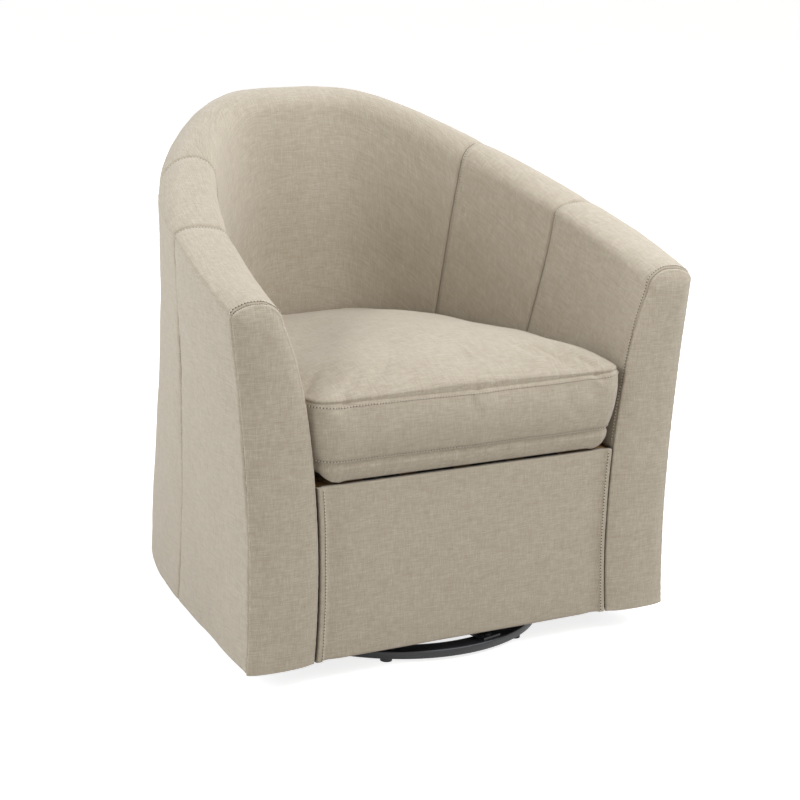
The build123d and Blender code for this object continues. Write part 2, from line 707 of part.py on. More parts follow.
def base_ring():
    """A pressed steel ring, open below, with holes for the glides and the rivets."""
    outer, inner = RING_R, RING_R - RING_WIDTH
    foot, top = GLIDE_HEIGHT, RING_TOP_Z
    ring = turned_solid(
        (outer, foot), (outer, top - RING_WALL), (outer - RING_WALL, top), (inner + RING_WALL, top),
        (inner, top - RING_WALL), (inner, foot), (inner + RING_WALL, foot),
        (inner + RING_WALL, top - RING_WALL), (outer - RING_WALL, top - RING_WALL),
        (outer - RING_WALL, foot),
    )
    drill = Pos(0, 0, top) * Cylinder(RIVET_R, 4 * RING_WALL)
    return ring - round_the_swivel(drill, RING_MIDDLE_R, ARM_COUNT, BASE_TURN)


def glides():
    glide = Pos(0, 0, GLIDE_HEIGHT / 2) * Cylinder(GLIDE_R, GLIDE_HEIGHT)
    return round_the_swivel(glide, GLIDE_RING_R, GLIDE_COUNT)


def spider():
    """Four cranked arms in one plate: they lie on the ring and carry the bearing."""
    low, high = RING_TOP_Z, SPIDER_HUB_Z
    outer = RING_R - 2 * RING_WALL
    points = [
        (0, high), (SPIDER_HUB_R, high), (SPIDER_FOOT_R, low), (outer, low),
        (outer, low + SPIDER), (SPIDER_FOOT_R + 1, low + SPIDER),
        (SPIDER_HUB_R + 1, high + SPIDER), (0, high + SPIDER),
    ]
    side_face = make_face(Polyline(*[(x, 0, z) for x, z in points], close=True))
    arm = extrude(side_face, SPIDER_ARM_WIDTH / 2, dir=(0, 1, 0), both=True)
    plate = Pos(0, 0, high + SPIDER / 2) * Cylinder(LOWER_PLATE_R * 0.8, SPIDER)
    for i in range(ARM_COUNT):
        plate += Rot(0, 0, i * 360 / ARM_COUNT) * arm
    plate -= Pos(0, 0, high) * Cylinder(PIVOT_R, 4 * SPIDER)
    drill = Pos(0, 0, low) * Cylinder(RIVET_R, 4 * SPIDER)
    for i in range(ARM_COUNT):
        plate -= Rot(0, 0, i * 360 / ARM_COUNT) * Pos(RING_MIDDLE_R, 0, 0) * drill
    return Pos(0, SWIVEL_Y, 0) * Rot(0, 0, BASE_TURN) * plate


def ring_rivets():
    low = RING_TOP_Z - RING_WALL
    stack = RING_WALL + SPIDER
    rivet = Pos(0, 0, low + stack / 2) * Cylinder(RIVET_R, stack)
    rivet += Pos(0, 0, low + stack + RIVET_HEAD / 2) * Cylinder(RIVET_HEAD_R, RIVET_HEAD)
    return round_the_swivel(rivet, RING_MIDDLE_R, ARM_COUNT, BASE_TURN)


def lower_plate():
    plate = disc(LOWER_PLATE_R, PLATE, LOWER_PLATE_Z)
    return plate - disc(PIVOT_R, 4 * PLATE, LOWER_PLATE_Z - PLATE)


def upper_plate():
    side = UPPER_PLATE_SIDE
    plate = Pos(0, SWIVEL_Y, UPPER_PLATE_Z + PLATE / 2) * Box(side, side, PLATE)
    plate = fillet(plate.edges().filter_by(Axis.Z), UPPER_PLATE_CORNER_R)
    plate -= disc(PIVOT_R + PIVOT_PLAY, 4 * PLATE, UPPER_PLATE_Z - PLATE)
    for x, y in screw_places():
        plate -= disc(SCREW_R, 4 * PLATE, UPPER_PLATE_Z - PLATE, x, y)
    return plate


def screw_places():
    half = SCREW_SPACING / 2
    return [(x, SWIVEL_Y + y) for x in (-half, half) for y in (-half, half)]


def plate_screws():
    screws = []
    for x, y in screw_places():
        head = disc(SCREW_HEAD_R, SCREW_HEAD, UPPER_PLATE_Z - SCREW_HEAD, x, y)
        screws.append((head + disc(SCREW_R, SCREW_LENGTH, UPPER_PLATE_Z, x, y)).solid())
    return Compound(screws)


def rollers():
    """Rollers that lie outwards from the pivot, between the two plates."""
    roller = Pos(0, 0, ROLLER_Z) * Rot(0, 90, 0) * Cylinder(ROLLER_R, ROLLER_LENGTH)
    return round_the_swivel(roller, RACE_R, ROLLER_COUNT)


def roller_cage():
    low, high = RACE_R - CAGE_HALF_WIDTH, RACE_R + CAGE_HALF_WIDTH
    cage = disc(high, CAGE, ROLLER_Z - CAGE / 2) - disc(low, 2 * CAGE, ROLLER_Z - CAGE)
    width, length = 2 * (ROLLER_R + ROLLER_PLAY), ROLLER_LENGTH + 2 * ROLLER_PLAY
    pocket = Pos(0, 0, ROLLER_Z) * Box(length, width, 2 * CAGE)
    return cage - round_the_swivel(pocket, RACE_R, ROLLER_COUNT)


def pivot():
    """The bolt that keeps the two plates together, its nut riding above the upper plate."""
    foot = SPIDER_HUB_Z
    nut_z = BOARD_Z + FIT
    bolt = disc(PIVOT_R, nut_z + NUT - foot, foot) + disc(PIVOT_HEAD_R, PIVOT_HEAD, foot - PIVOT_HEAD)
    nut = Pos(0, SWIVEL_Y, nut_z) * extrude(RegularPolygon(NUT_R, 6), NUT)
    return {"pivot_bolt": bolt, "pivot_nut": nut - disc(PIVOT_R, 4 * NUT, nut_z - NUT)}


def mounting_boards():
    boards = []
    for way in (-1, 1):
        y = SWIVEL_Y + way * BOARD_PITCH / 2 - BOARD_WIDTH / 2
        board = block(2 * BOARD_HALF_LENGTH, BOARD_WIDTH, BOARD, 0, y, BOARD_Z)
        for x, hole_y in screw_places():
            board -= disc(SCREW_R, 2 * SCREW_LENGTH, BOARD_Z - SCREW_LENGTH, x, hole_y)
        boards.append(board.solid())
    return Compound(boards)


# ================================================================ the whole chair
def main():
    parts = {}
    parts.update(outer_covers())
    parts.update(inner_covers())
    parts.update(arm_fronts())
    parts.update(arm_front_boards())
    parts.update(crest_rails())
    parts.update(posts())
    parts.update(seat_rails())
    parts.update(webbing())
    parts.update(seat_cushion())
    parts.update(pivot())
    parts.update({
        "base_rib": base_rib(),
        "deck_rib": deck_rib(),
        "corner_blocks": corner_blocks(),
        "deck_pad": deck_pad(),
        "front_panel_cover": front_panel(),
        "dust_cover": dust_cover(),
        "mounting_boards": mounting_boards(),
        "floor_glides": glides(),
        "base_ring": base_ring(),
        "base_spider": spider(),
        "ring_rivets": ring_rivets(),
        "lower_bearing_plate": lower_plate(),
        "upper_bearing_plate": upper_plate(),
        "plate_screws": plate_screws(),
        "bearing_rollers": rollers(),
        "roller_cage": roller_cage(),
    })
    for name, shape in parts.items():
        export_step(shape, f"parts/{name}.step")


if __name__ == "__main__":
    main()
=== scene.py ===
"""Looks of the swivel barrel chair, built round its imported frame.

Sizes in the classes are millimetres, in the frame's own axes: +Z up, the front towards -Y.
Meshes are written in metres. A wall panel is a grid of columns that follow the run round the
tub and rows that follow the section from the foot over the crest to the deck.
"""

import logging
import math
from collections.abc import Callable
from dataclasses import dataclass, field
from enum import Enum

import bmesh
import bpy
import numpy as np
from mathutils import Matrix, Vector

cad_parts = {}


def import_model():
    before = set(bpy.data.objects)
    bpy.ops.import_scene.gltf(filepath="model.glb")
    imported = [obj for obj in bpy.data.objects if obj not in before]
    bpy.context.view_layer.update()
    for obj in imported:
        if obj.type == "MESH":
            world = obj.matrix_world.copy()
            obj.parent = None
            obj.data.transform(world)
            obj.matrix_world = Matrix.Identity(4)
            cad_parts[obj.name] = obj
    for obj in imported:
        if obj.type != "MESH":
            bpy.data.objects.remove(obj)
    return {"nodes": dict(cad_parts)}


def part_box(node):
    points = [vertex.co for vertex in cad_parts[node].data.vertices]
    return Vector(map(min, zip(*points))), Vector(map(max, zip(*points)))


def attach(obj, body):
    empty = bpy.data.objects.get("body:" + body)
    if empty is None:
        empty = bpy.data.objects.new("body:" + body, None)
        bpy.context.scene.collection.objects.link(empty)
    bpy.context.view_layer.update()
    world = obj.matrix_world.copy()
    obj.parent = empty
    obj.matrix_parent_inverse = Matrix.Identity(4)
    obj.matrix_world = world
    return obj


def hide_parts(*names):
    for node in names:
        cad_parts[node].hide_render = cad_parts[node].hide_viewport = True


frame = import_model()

LOG = logging.getLogger("barrel_chair")
MM = 0.001
Grid = np.ndarray
Tree = bpy.types.NodeTree
Line = tuple[Grid, Grid]    # points of a line and the cloth's normal at each


class Body(Enum):
    """The rigid groups of the chair that get new pieces."""

    BASE = "base"
    CHAIR = "chair"


class Slot(Enum):
    """Material slots of the record."""

    UPHOLSTERY = "upholstery"
    PADDED = "padded_upholstery"
    FOAM = "foam"
    FELT = "deck_felt"
    WEBBING = "webbing"
    DUST_CLOTH = "dust_cloth"
    PLYWOOD = "plywood"
    PINE = "pine"
    BLACK_STEEL = "black_steel"
    ZINC_STEEL = "zinc_steel"
    ROLLER_STEEL = "roller_steel"
    BLACK_PLASTIC = "black_plastic"


class Rim(Enum):
    """How an edge of an upholstered panel is finished."""

    SEAM = "seam"        # sewn to its neighbour: a valley with small puckers, then a hidden flange
    FOLD = "fold"        # turned under and stapled: a rounded edge, then a hidden flange
    HIDDEN = "hidden"    # runs on out of sight


# ---------------------------------------------------------------- materials
def linear(hex_colour: str) -> tuple[float, float, float, float]:
    """Turn an sRGB hex colour to linear light.

    Args:
        hex_colour: six digits with a leading hash.

    Returns:
        Red, green, blue and an alpha of 1.
    """
    parts = [int(hex_colour[i : i + 2], 16) / 255 for i in (1, 3, 5)]
    turned = [p / 12.92 if p <= 0.04045 else ((p + 0.055) / 1.055) ** 2.4 for p in parts]
    return (*turned, 1.0)


def add_node(tree: Tree, kind: str, links: dict | None = None, **settings) -> bpy.types.Node:
    """Add one node with its settings and its inputs.

    Args:
        tree: the node tree.
        kind: Blender's name of the node type.
        links: value or output socket for each input, by name or number.
        settings: properties of the node.

    Returns:
        The new node.
    """
    made = tree.nodes.new(kind)
    for name, value in settings.items():
        setattr(made, name, value)
    for key, value in (links or {}).items():
        if isinstance(value, bpy.types.NodeSocket):
            tree.links.new(value, made.inputs[key])
        else:
            made.inputs[key].default_value = value
    return made


def set_ramp(ramp: bpy.types.Node, stops: list[tuple[float, str]]) -> bpy.types.NodeSocket:
    """Give a colour ramp its stops.

    Args:
        ramp: the Color Ramp node.
        stops: place and hex colour of each stop.

    Returns:
        The ramp's colour.
    """
    elements = ramp.color_ramp.elements
    while len(elements) < len(stops):
        elements.new(0.5)
    for element, (place, colour) in zip(elements, stops):
        element.position, element.color = place, linear(colour)
    return ramp.outputs[0]


def ray_is(tree: Tree, *kinds: str) -> bpy.types.NodeSocket:
    """Tell some kinds of ray from the others.

    Args:
        tree: the node tree.
        kinds: outputs of Light Path.

    Returns:
        1 for a ray of any of the kinds, else 0.
    """
    path = add_node(tree, "ShaderNodeLightPath")
    found = path.outputs[kinds[0]]
    for kind in kinds[1:]:
        found = add_node(tree, "ShaderNodeMath", {0: found, 1: path.outputs[kind]},
                         operation="MAXIMUM").outputs[0]
    return found


@dataclass(frozen=True)
class Finish:
    """A material: a subclass lays its pattern, and one Principled shader takes what it gives."""

    name: str

    def pattern(self, tree: Tree) -> dict[str, object]:
        """Give the shader's inputs, as values or as sockets of the pattern's nodes."""
        raise NotImplementedError

    def build(self) -> bpy.types.Material:
        """Build the material.

        Returns:
            The material.
        """
        material = bpy.data.materials.new(self.name)
        material.use_nodes = True
        tree = material.node_tree
        tree.nodes.clear()
        shader = add_node(tree, "ShaderNodeBsdfPrincipled", self.pattern(tree))
        add_node(tree, "ShaderNodeOutputMaterial", {"Surface": shader.outputs["BSDF"]})
        return material


@dataclass(frozen=True)
class WovenCloth(Finish):
    """Plain weave: two sets of threads that pass over and under each other.

    The real threads are about 0.6 mm apart. They are drawn coarser, so that they still show in
    Slubs, thicker and paler stretches of a thread, give the fine streaks both ways. Painted shade
    darkens the gaps between the threads.
    """

    thread_mm: float
    slub_mm: float
    dark: str
    middle: str
    pale: str
    roughness: float
    sheen: float
    bump: float
    relief_mm: float = 0.35
    neighbour_shift: float = 7.31
    way_shift: float = 3.7
    cloud_scale: float = 38.0
    cloud_share: float = 0.1
    gap_shade: float = 0.86

    def pattern(self, tree: Tree) -> dict[str, object]:
        """Lay the weave on the piece's own UV map, which is in metres.

        Args:
            tree: the material's nodes.

        Returns:
            The shader's inputs.
        """
        cloth = add_node(tree, "ShaderNodeUVMap", uv_map="cloth").outputs[0]
        count = 1.0 / (self.thread_mm * MM)
        threads = add_node(tree, "ShaderNodeVectorMath", {0: cloth, 1: (count,) * 3},
                           operation="MULTIPLY")
        split = add_node(tree, "ShaderNodeSeparateXYZ", {0: threads.outputs[0]})
        cells, heights, tones = [], [], []
        for way in (0, 1):
            own, other = split.outputs[way], split.outputs[1 - way]
            cell = add_node(tree, "ShaderNodeMath", {0: own}, operation="FLOOR")
            slow = add_node(tree, "ShaderNodeMath", {0: other, 1: self.thread_mm / self.slub_mm},
                            operation="MULTIPLY")
            apart = add_node(tree, "ShaderNodeMath",
                             {0: cell.outputs[0], 1: self.neighbour_shift + way},
                             operation="MULTIPLY")
            place = add_node(tree, "ShaderNodeCombineXYZ",
                             {0: apart.outputs[0], 1: slow.outputs[0], 2: self.way_shift * way})
            slub = add_node(tree, "ShaderNodeTexNoise",
                            {"Vector": place.outputs[0], "Scale": 1.0, "Detail": 2.0,
                             "Roughness": 0.6})
            turned = add_node(tree, "ShaderNodeMath", {0: own, 1: math.pi}, operation="MULTIPLY")
            wave = add_node(tree, "ShaderNodeMath", {0: turned.outputs[0]}, operation="SINE")
            back = add_node(tree, "ShaderNodeMath", {0: wave.outputs[0]}, operation="ABSOLUTE")
            cells.append(cell.outputs[0])
            tones.append(slub.outputs["Fac"])
            heights.append(back.outputs[0])
        total = add_node(tree, "ShaderNodeMath", dict(enumerate(cells)), operation="ADD")
        over = add_node(tree, "ShaderNodeMath", {0: total.outputs[0], 1: 2.0},
                        operation="FLOORED_MODULO")
        tone, ridge = (add_node(tree, "ShaderNodeMix", {0: over.outputs[0], 2: a, 3: b},
                                data_type="FLOAT").outputs[0] for a, b in (tones, heights))
        cloud = add_node(tree, "ShaderNodeTexNoise",
                         {"Vector": cloth, "Scale": self.cloud_scale, "Detail": 3.0})
        mottled = add_node(tree, "ShaderNodeMix",
                           {0: self.cloud_share, 2: tone, 3: cloud.outputs["Fac"]},
                           data_type="FLOAT")
        dyed = set_ramp(add_node(tree, "ShaderNodeValToRGB", {0: mottled.outputs[0]}),
                        [(0.3, self.dark), (0.5, self.middle), (0.72, self.pale)])
        # Painted shade: the colour is multiplied darker towards each thread's edges, for the shadow
        # in the gaps between threads.
        shade = add_node(tree, "ShaderNodeMapRange", {0: ridge, 3: self.gap_shade, 4: 1.0})
        grey = add_node(tree, "ShaderNodeCombineXYZ", dict.fromkeys(range(3), shade.outputs[0]))
        colour = add_node(tree, "ShaderNodeMix", {0: 1.0, 6: dyed, 7: grey.outputs[0]},
                          data_type="RGBA", blend_type="MULTIPLY")
        fuller = add_node(tree, "ShaderNodeMath", {0: ridge, 1: tone}, operation="ADD")
        relief = add_node(tree, "ShaderNodeBump",
                          {"Strength": self.bump, "Distance": self.relief_mm * MM,
                           "Height": fuller.outputs[0]})
        return {"Base Color": colour.outputs[2], "Normal": relief.outputs[0],
                "Roughness": self.roughness, "Sheen Weight": self.sheen,
                "Sheen Roughness": 0.6, "Specular IOR Level": 0.25}


@dataclass(frozen=True)
class TwistedThread(Finish):
    """Twisted polyester sewing thread: a slight gloss, its plies drawn as fine slanted bands of
    painted light and shade, darker in the grooves between them.
    """

    pale: str
    dark: str
    ply_mm: float = 0.6

    def pattern(self, tree: Tree) -> dict[str, object]:
        """Lay the plies on Object coordinates.

        Args:
            tree: the material's nodes.

        Returns:
            The shader's inputs.
        """
        place = add_node(tree, "ShaderNodeTexCoord").outputs["Object"]
        bands = add_node(tree, "ShaderNodeTexWave",
                         {"Vector": place, "Scale": 0.3 / (self.ply_mm * MM), "Distortion": 1.0},
                         bands_direction="DIAGONAL")
        # Painted light and shade: pale bands for the lit plies, dark ones for the shadow in the
        # grooves between them.
        dyed = set_ramp(add_node(tree, "ShaderNodeValToRGB", {0: bands.outputs["Fac"]}),
                        [(0.2, self.dark), (0.8, self.pale)])
        return {"Base Color": dyed, "Roughness": 0.55}


@dataclass(frozen=True)
class CoatedMetal(Finish):
    """Metal under a coat, or bare and plated: grain as fine bump, wear as uneven gloss."""

    colour: str
    second: str
    metallic: float
    roughness: float
    grain_mm: float
    bump: float
    wear_scale: float = 24.0
    grain_depth_mm: float = 0.2

    def pattern(self, tree: Tree) -> dict[str, object]:
        """Lay grain and wear on Object coordinates.

        Args:
            tree: the material's nodes.

        Returns:
            The shader's inputs.
        """
        place = add_node(tree, "ShaderNodeTexCoord").outputs["Object"]
        broad = add_node(tree, "ShaderNodeTexNoise",
                         {"Vector": place, "Scale": self.wear_scale, "Detail": 4.0})
        grain = add_node(tree, "ShaderNodeTexNoise",
                         {"Vector": place, "Scale": 1.0 / (self.grain_mm * MM), "Detail": 2.0})
        coat = set_ramp(add_node(tree, "ShaderNodeValToRGB", {0: broad.outputs["Fac"]}),
                        [(0.35, self.colour), (0.7, self.second)])
        gloss = add_node(tree, "ShaderNodeMapRange",
                         {0: broad.outputs["Fac"], 1: 0.3, 2: 0.7, 3: self.roughness - 0.05,
                          4: self.roughness + 0.07})
        relief = add_node(tree, "ShaderNodeBump",
                          {"Strength": self.bump, "Distance": self.grain_depth_mm * MM,
                           "Height": grain.outputs["Fac"]})
        return {"Base Color": coat, "Roughness": gloss.outputs[0], "Normal": relief.outputs[0],
                "Metallic": self.metallic}


@dataclass(frozen=True)
class SawnWood(Finish):
    """Pine or plywood: rings stretched along the board, with fine pores."""

    pale: str
    dark: str
    ring_mm: float
    stretch: tuple[float, float, float]
    pore_scale: float = 900.0
    pore_share: float = 0.35
    saw_mm: float = 0.3

    def pattern(self, tree: Tree) -> dict[str, object]:
        """Lay rings and pores on Object coordinates.

        Args:
            tree: the material's nodes.

        Returns:
            The shader's inputs.
        """
        place = add_node(tree, "ShaderNodeTexCoord").outputs["Object"]
        laid = add_node(tree, "ShaderNodeMapping", {"Vector": place, "Scale": self.stretch})
        rings = add_node(tree, "ShaderNodeTexWave",
                         {"Vector": laid.outputs[0], "Scale": 0.16 / (self.ring_mm * MM),
                          "Distortion": 5.0, "Detail": 3.0})
        pores = add_node(tree, "ShaderNodeTexNoise",
                         {"Vector": laid.outputs[0], "Scale": self.pore_scale, "Detail": 3.0})
        mixed = add_node(tree, "ShaderNodeMix",
                         {0: self.pore_share, 2: rings.outputs["Fac"], 3: pores.outputs["Fac"]},
                         data_type="FLOAT").outputs[0]
        grain = set_ramp(add_node(tree, "ShaderNodeValToRGB", {0: mixed}),
                         [(0.2, self.pale), (0.8, self.dark)])
        relief = add_node(tree, "ShaderNodeBump",
                          {"Strength": 0.3, "Distance": self.saw_mm * MM, "Height": mixed})
        return {"Base Color": grain, "Normal": relief.outputs[0], "Roughness": 0.65}


@dataclass(frozen=True)
class SoftFill(Finish):
    """Foam, felt and nonwoven cloth: a speckle of cells or fibres without a direction."""

    pale: str
    dark: str
    cell_mm: float
    roughness: float = 0.95
    relief_mm: float = 0.4

    def pattern(self, tree: Tree) -> dict[str, object]:
        """Lay the speckle on Object coordinates.

        Args:
            tree: the material's nodes.

        Returns:
            The shader's inputs.
        """
        place = add_node(tree, "ShaderNodeTexCoord").outputs["Object"]
        cells = add_node(tree, "ShaderNodeTexVoronoi",
                         {"Vector": place, "Scale": 1.0 / (self.cell_mm * MM)})
        fibres = add_node(tree, "ShaderNodeTexNoise",
                          {"Vector": place, "Scale": 0.4 / (self.cell_mm * MM), "Detail": 4.0})
        mixed = add_node(tree, "ShaderNodeMix",
                         {0: 0.5, 2: cells.outputs["Distance"], 3: fibres.outputs["Fac"]},
                         data_type="FLOAT").outputs[0]
        speckle = set_ramp(add_node(tree, "ShaderNodeValToRGB", {0: mixed}),
                           [(0.25, self.dark), (0.65, self.pale)])
        relief = add_node(tree, "ShaderNodeBump",
                          {"Strength": 0.4, "Distance": self.relief_mm * MM, "Height": mixed})
        return {"Base Color": speckle, "Normal": relief.outputs[0], "Roughness": self.roughness}


@dataclass(frozen=True)
class StudioFloor(Finish):
    """Matt pale floor that glows to camera and glossy rays, so that it looks white."""

    colour: str
    glow: float

    def pattern(self, tree: Tree) -> dict[str, object]:
        """Give the floor's colour and its glow.

        Args:
            tree: the material's nodes.

        Returns:
            The shader's inputs.
        """
        lit = add_node(tree, "ShaderNodeMath",
                       {0: ray_is(tree, "Is Camera Ray", "Is Glossy Ray"), 1: self.glow},
                       operation="MULTIPLY")
        return {"Base Color": linear(self.colour), "Roughness": 0.9, "Specular IOR Level": 0.1,
                "Emission Color": (1, 1, 1, 1), "Emission Strength": lit.outputs[0]}


# Linen-look polyester in warm grey-beige: matt, a faint fuzz that lightens grazing views.
LINEN = WovenCloth("linen_look_weave", 1.25, 18.0, "#9c907c", "#ab9f8c", "#bcb1a0", 0.9, 0.16, 0.3)
FINISHES = {
    Slot.UPHOLSTERY: LINEN,
    Slot.PADDED: LINEN,
    # Foam, felt and cloth that are hidden in use.
    Slot.FOAM: SoftFill("cut_polyether_foam", "#d9cfae", "#b9ac86", 1.2),
    Slot.FELT: SoftFill("needled_deck_felt", "#8f8d89", "#6d6b67", 0.9),
    Slot.DUST_CLOTH: SoftFill("black_spunbond_cloth", "#24242a", "#141418", 0.8, 0.85),
    Slot.WEBBING: WovenCloth("elastic_webbing", 2.0, 60.0, "#3b3a38", "#55524d", "#7a756d",
                             0.8, 0.05, 0.6, 0.5),
    # Frame wood, sawn and left bare.
    Slot.PLYWOOD: SawnWood("poplar_plywood", "#c9ab7c", "#9c7a4c", 2.2, (1.0, 0.2, 3.0)),
    Slot.PINE: SawnWood("sawn_pine", "#d8b98a", "#b18a57", 4.0, (0.15, 1.0, 1.0)),
    # Black satin powder coat: no metal shows, a fine orange-peel skin with soft highlights.
    Slot.BLACK_STEEL: CoatedMetal("black_satin_powder_coat", "#141416", "#1c1c1f", 0.0, 0.42,
                                  1.1, 0.12),
    # Zinc plate: grey with a slight blue cast and dull highlights.
    Slot.ZINC_STEEL: CoatedMetal("zinc_plated_steel", "#b9bcc0", "#a5a9ae", 1.0, 0.38, 0.8, 0.08),
    # Ground steel: bright, with sharper highlights.
    Slot.ROLLER_STEEL: CoatedMetal("ground_bearing_steel", "#cfd1d3", "#bfc1c4", 1.0, 0.16,
                                   0.5, 0.03),
    # Moulded nylon glide: near black, silky.
    Slot.BLACK_PLASTIC: CoatedMetal("moulded_black_nylon", "#17171a", "#202024", 0.0, 0.5,
                                    0.7, 0.15),
}
THREAD = TwistedThread("polyester_topstitch_thread", "#d6cdbd", "#b5aa98")
# Painted shade: the dark colour of the needle holes and of the closed seams' lines stands in for
# the shadow in them.
NEEDLE_HOLE_SHADE = SoftFill("shadow_in_needle_hole", "#5d5344", "#453c30", 1.0)
FLOOR = StudioFloor("white_studio_floor", "#c6c5c2", 0.8)


class Materials:
    """Builds each finish once and hands it out."""

    def __init__(self) -> None:
        """Start with nothing built."""
        self.made: dict[Finish, bpy.types.Material] = {}

    def get(self, finish: Finish | Slot) -> bpy.types.Material:
        """Give the material of a finish, or of a slot's finish.

        Args:
            finish: the finish, or the slot that it belongs to.

        Returns:
            The material, built once.
        """
        finish = FINISHES[finish] if isinstance(finish, Slot) else finish
        if finish not in self.made:
            self.made[finish] = finish.build()
        return self.made[finish]


# ---------------------------------------------------------------- grids and meshes
@dataclass
class Patch:
    """A grid of points in millimetres, rows by columns, with its cloth coordinates in metres."""

    points: Grid
    cloth: Grid


def steps_between(points: Grid, axis: int) -> Grid:
    """Distance run along a line, or along a grid's rows or columns.

    Each value is the sum of the straight steps up to that point, starting at nought.

    Args:
        points: the line or grid.
        axis: 0 down the columns, 1 along the rows.

    Returns:
        Distances, one for each point.
    """
    steps = np.linalg.norm(np.diff(points, axis=axis), axis=-1)
    start = np.zeros_like(np.take(steps, [0], axis=axis))
    return np.concatenate([start, np.cumsum(steps, axis=axis)], axis=axis)


def read_at(values: Grid, run: Grid, places: Grid) -> Grid:
    """Read a line's points or normals at distances along it, between its own points."""
    return np.stack([np.interp(places, run, column) for column in values.T], axis=-1)


def unit(vectors: Grid) -> Grid:
    """Shorten or lengthen vectors to 1; one of no length stays nought."""
    return vectors / np.maximum(np.linalg.norm(vectors, axis=-1, keepdims=True), 1e-9)


def normals_of(points: Grid) -> Grid:
    """Unit normals of a grid: the cross product of the change along rows and along columns."""
    return unit(np.cross(np.gradient(points, axis=1), np.gradient(points, axis=0)))


def raised(plan: Grid, height: Grid) -> Grid:
    """Give a grid of plan points their heights: one for each row, or one for each point."""
    height = (height if height.ndim == 2 else height[:, None])[..., None]
    return np.concatenate([plan, np.broadcast_to(height, (*plan.shape[:2], 1))], axis=2)


def halved(low: Grid, high: Grid, before: Callable[[Grid], Grid]) -> Grid:
    """Find where a test stops to hold, by halving the space between two bounds.

    Args:
        low: values at which it holds.
        high: values at which it doesn't.
        before: the test.

    Returns:
        Values between the bounds.
    """
    for _ in range(30):
        middle = (low + high) / 2
        holds = before(middle)
        low, high = np.where(holds, middle, low), np.where(holds, high, middle)
    return (low + high) / 2


def graded(length: float, step: float, fine_start: bool = True, fine_end: bool = True) -> Grid:
    """Places from 0 to 1 over a length, with more of them beside a seam.

    Args:
        length: length in millimetres.
        step: spacing away from the seams, in millimetres.
        fine_start: crowd the start.
        fine_end: crowd the end.

    Returns:
        Rising places, the first 0 and the last 1.
    """
    crowd = np.array([0, 0.6, 1.2, 2.0, 3.0, 4.2, 5.6, 7.4, 9.8, 13.0, 17.0, 22.0])
    crowd = crowd[crowd < length * 0.45]
    first = crowd if fine_start else np.array([0.0])
    last = length - crowd[::-1] if fine_end else np.array([length])
    count = max(int(round((last[0] - first[-1]) / step)), 1)
    middle = np.linspace(first[-1], last[0], count + 1)[1:-1]
    return np.concatenate([first, middle, last]) / length


def soft_waves(points: Grid, wavelength: float, seed: int) -> Grid:
    """Smooth unevenness of about unit size.

    The sum of twelve sine waves through space with different headings and phases.

    Args:
        points: grid of points in millimetres.
        wavelength: mean wavelength in millimetres.
        seed: picks the headings.

    Returns:
        One value for each point.
    """
    count = 12
    chance = np.random.default_rng(seed)
    heading = unit(chance.normal(size=(count, 3)))
    rate = 2 * math.pi / wavelength * chance.uniform(0.6, 1.6, count)
    phase = chance.uniform(0, 2 * math.pi, count)
    waves = np.sin(points @ (heading * rate[:, None]).T + phase)
    return waves.sum(axis=-1) / math.sqrt(count / 2)


def make_piece(name: str, patches: list[Patch], material: bpy.types.Material, body: Body,
               wall_mm: float = 0.0) -> bpy.types.Object:
    """Turn patches to one mesh piece that rides on a body.

    Points that meet, at a pole, a wrap or between two patches, become one.

    Args:
        name: name of the piece.
        patches: the grids.
        material: its material.
        body: what it rides on.
        wall_mm: thickness that Solidify gives it inwards, or 0.

    Returns:
        The new object.
    """
    points, faces, cloth, start = [], [], [], 0
    for patch in patches:
        rows, cols = patch.points.shape[:2]
        index = np.arange(rows * cols).reshape(rows, cols)
        quads = np.stack([index[:-1, :-1], index[:-1, 1:], index[1:, 1:], index[1:, :-1]],
                         axis=2).reshape(-1, 4)
        points.append(patch.points.reshape(-1, 3) * MM)
        cloth.append(patch.cloth.reshape(-1, 2)[quads].reshape(-1, 2))
        faces.append(quads + start)
        start += rows * cols
    mesh = bpy.data.meshes.new(name)
    mesh.from_pydata(np.concatenate(points), [], np.concatenate(faces).tolist())
    layer = mesh.uv_layers.new(name="cloth")
    layer.data.foreach_set("uv", np.concatenate(cloth).astype(np.float32).ravel())
    work = bmesh.new()
    work.from_mesh(mesh)
    bmesh.ops.remove_doubles(work, verts=work.verts, dist=2e-6)
    bmesh.ops.dissolve_degenerate(work, edges=work.edges, dist=1e-7)
    work.to_mesh(mesh)
    work.free()
    mesh.shade_smooth()
    mesh.materials.append(material)
    piece = bpy.data.objects.new(name, mesh)
    bpy.context.scene.collection.objects.link(piece)
    if wall_mm:
        wall = piece.modifiers.new("wall", "SOLIDIFY")
        wall.thickness = wall_mm * MM
        wall.offset = -1.0
    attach(piece, body.value)
    return piece


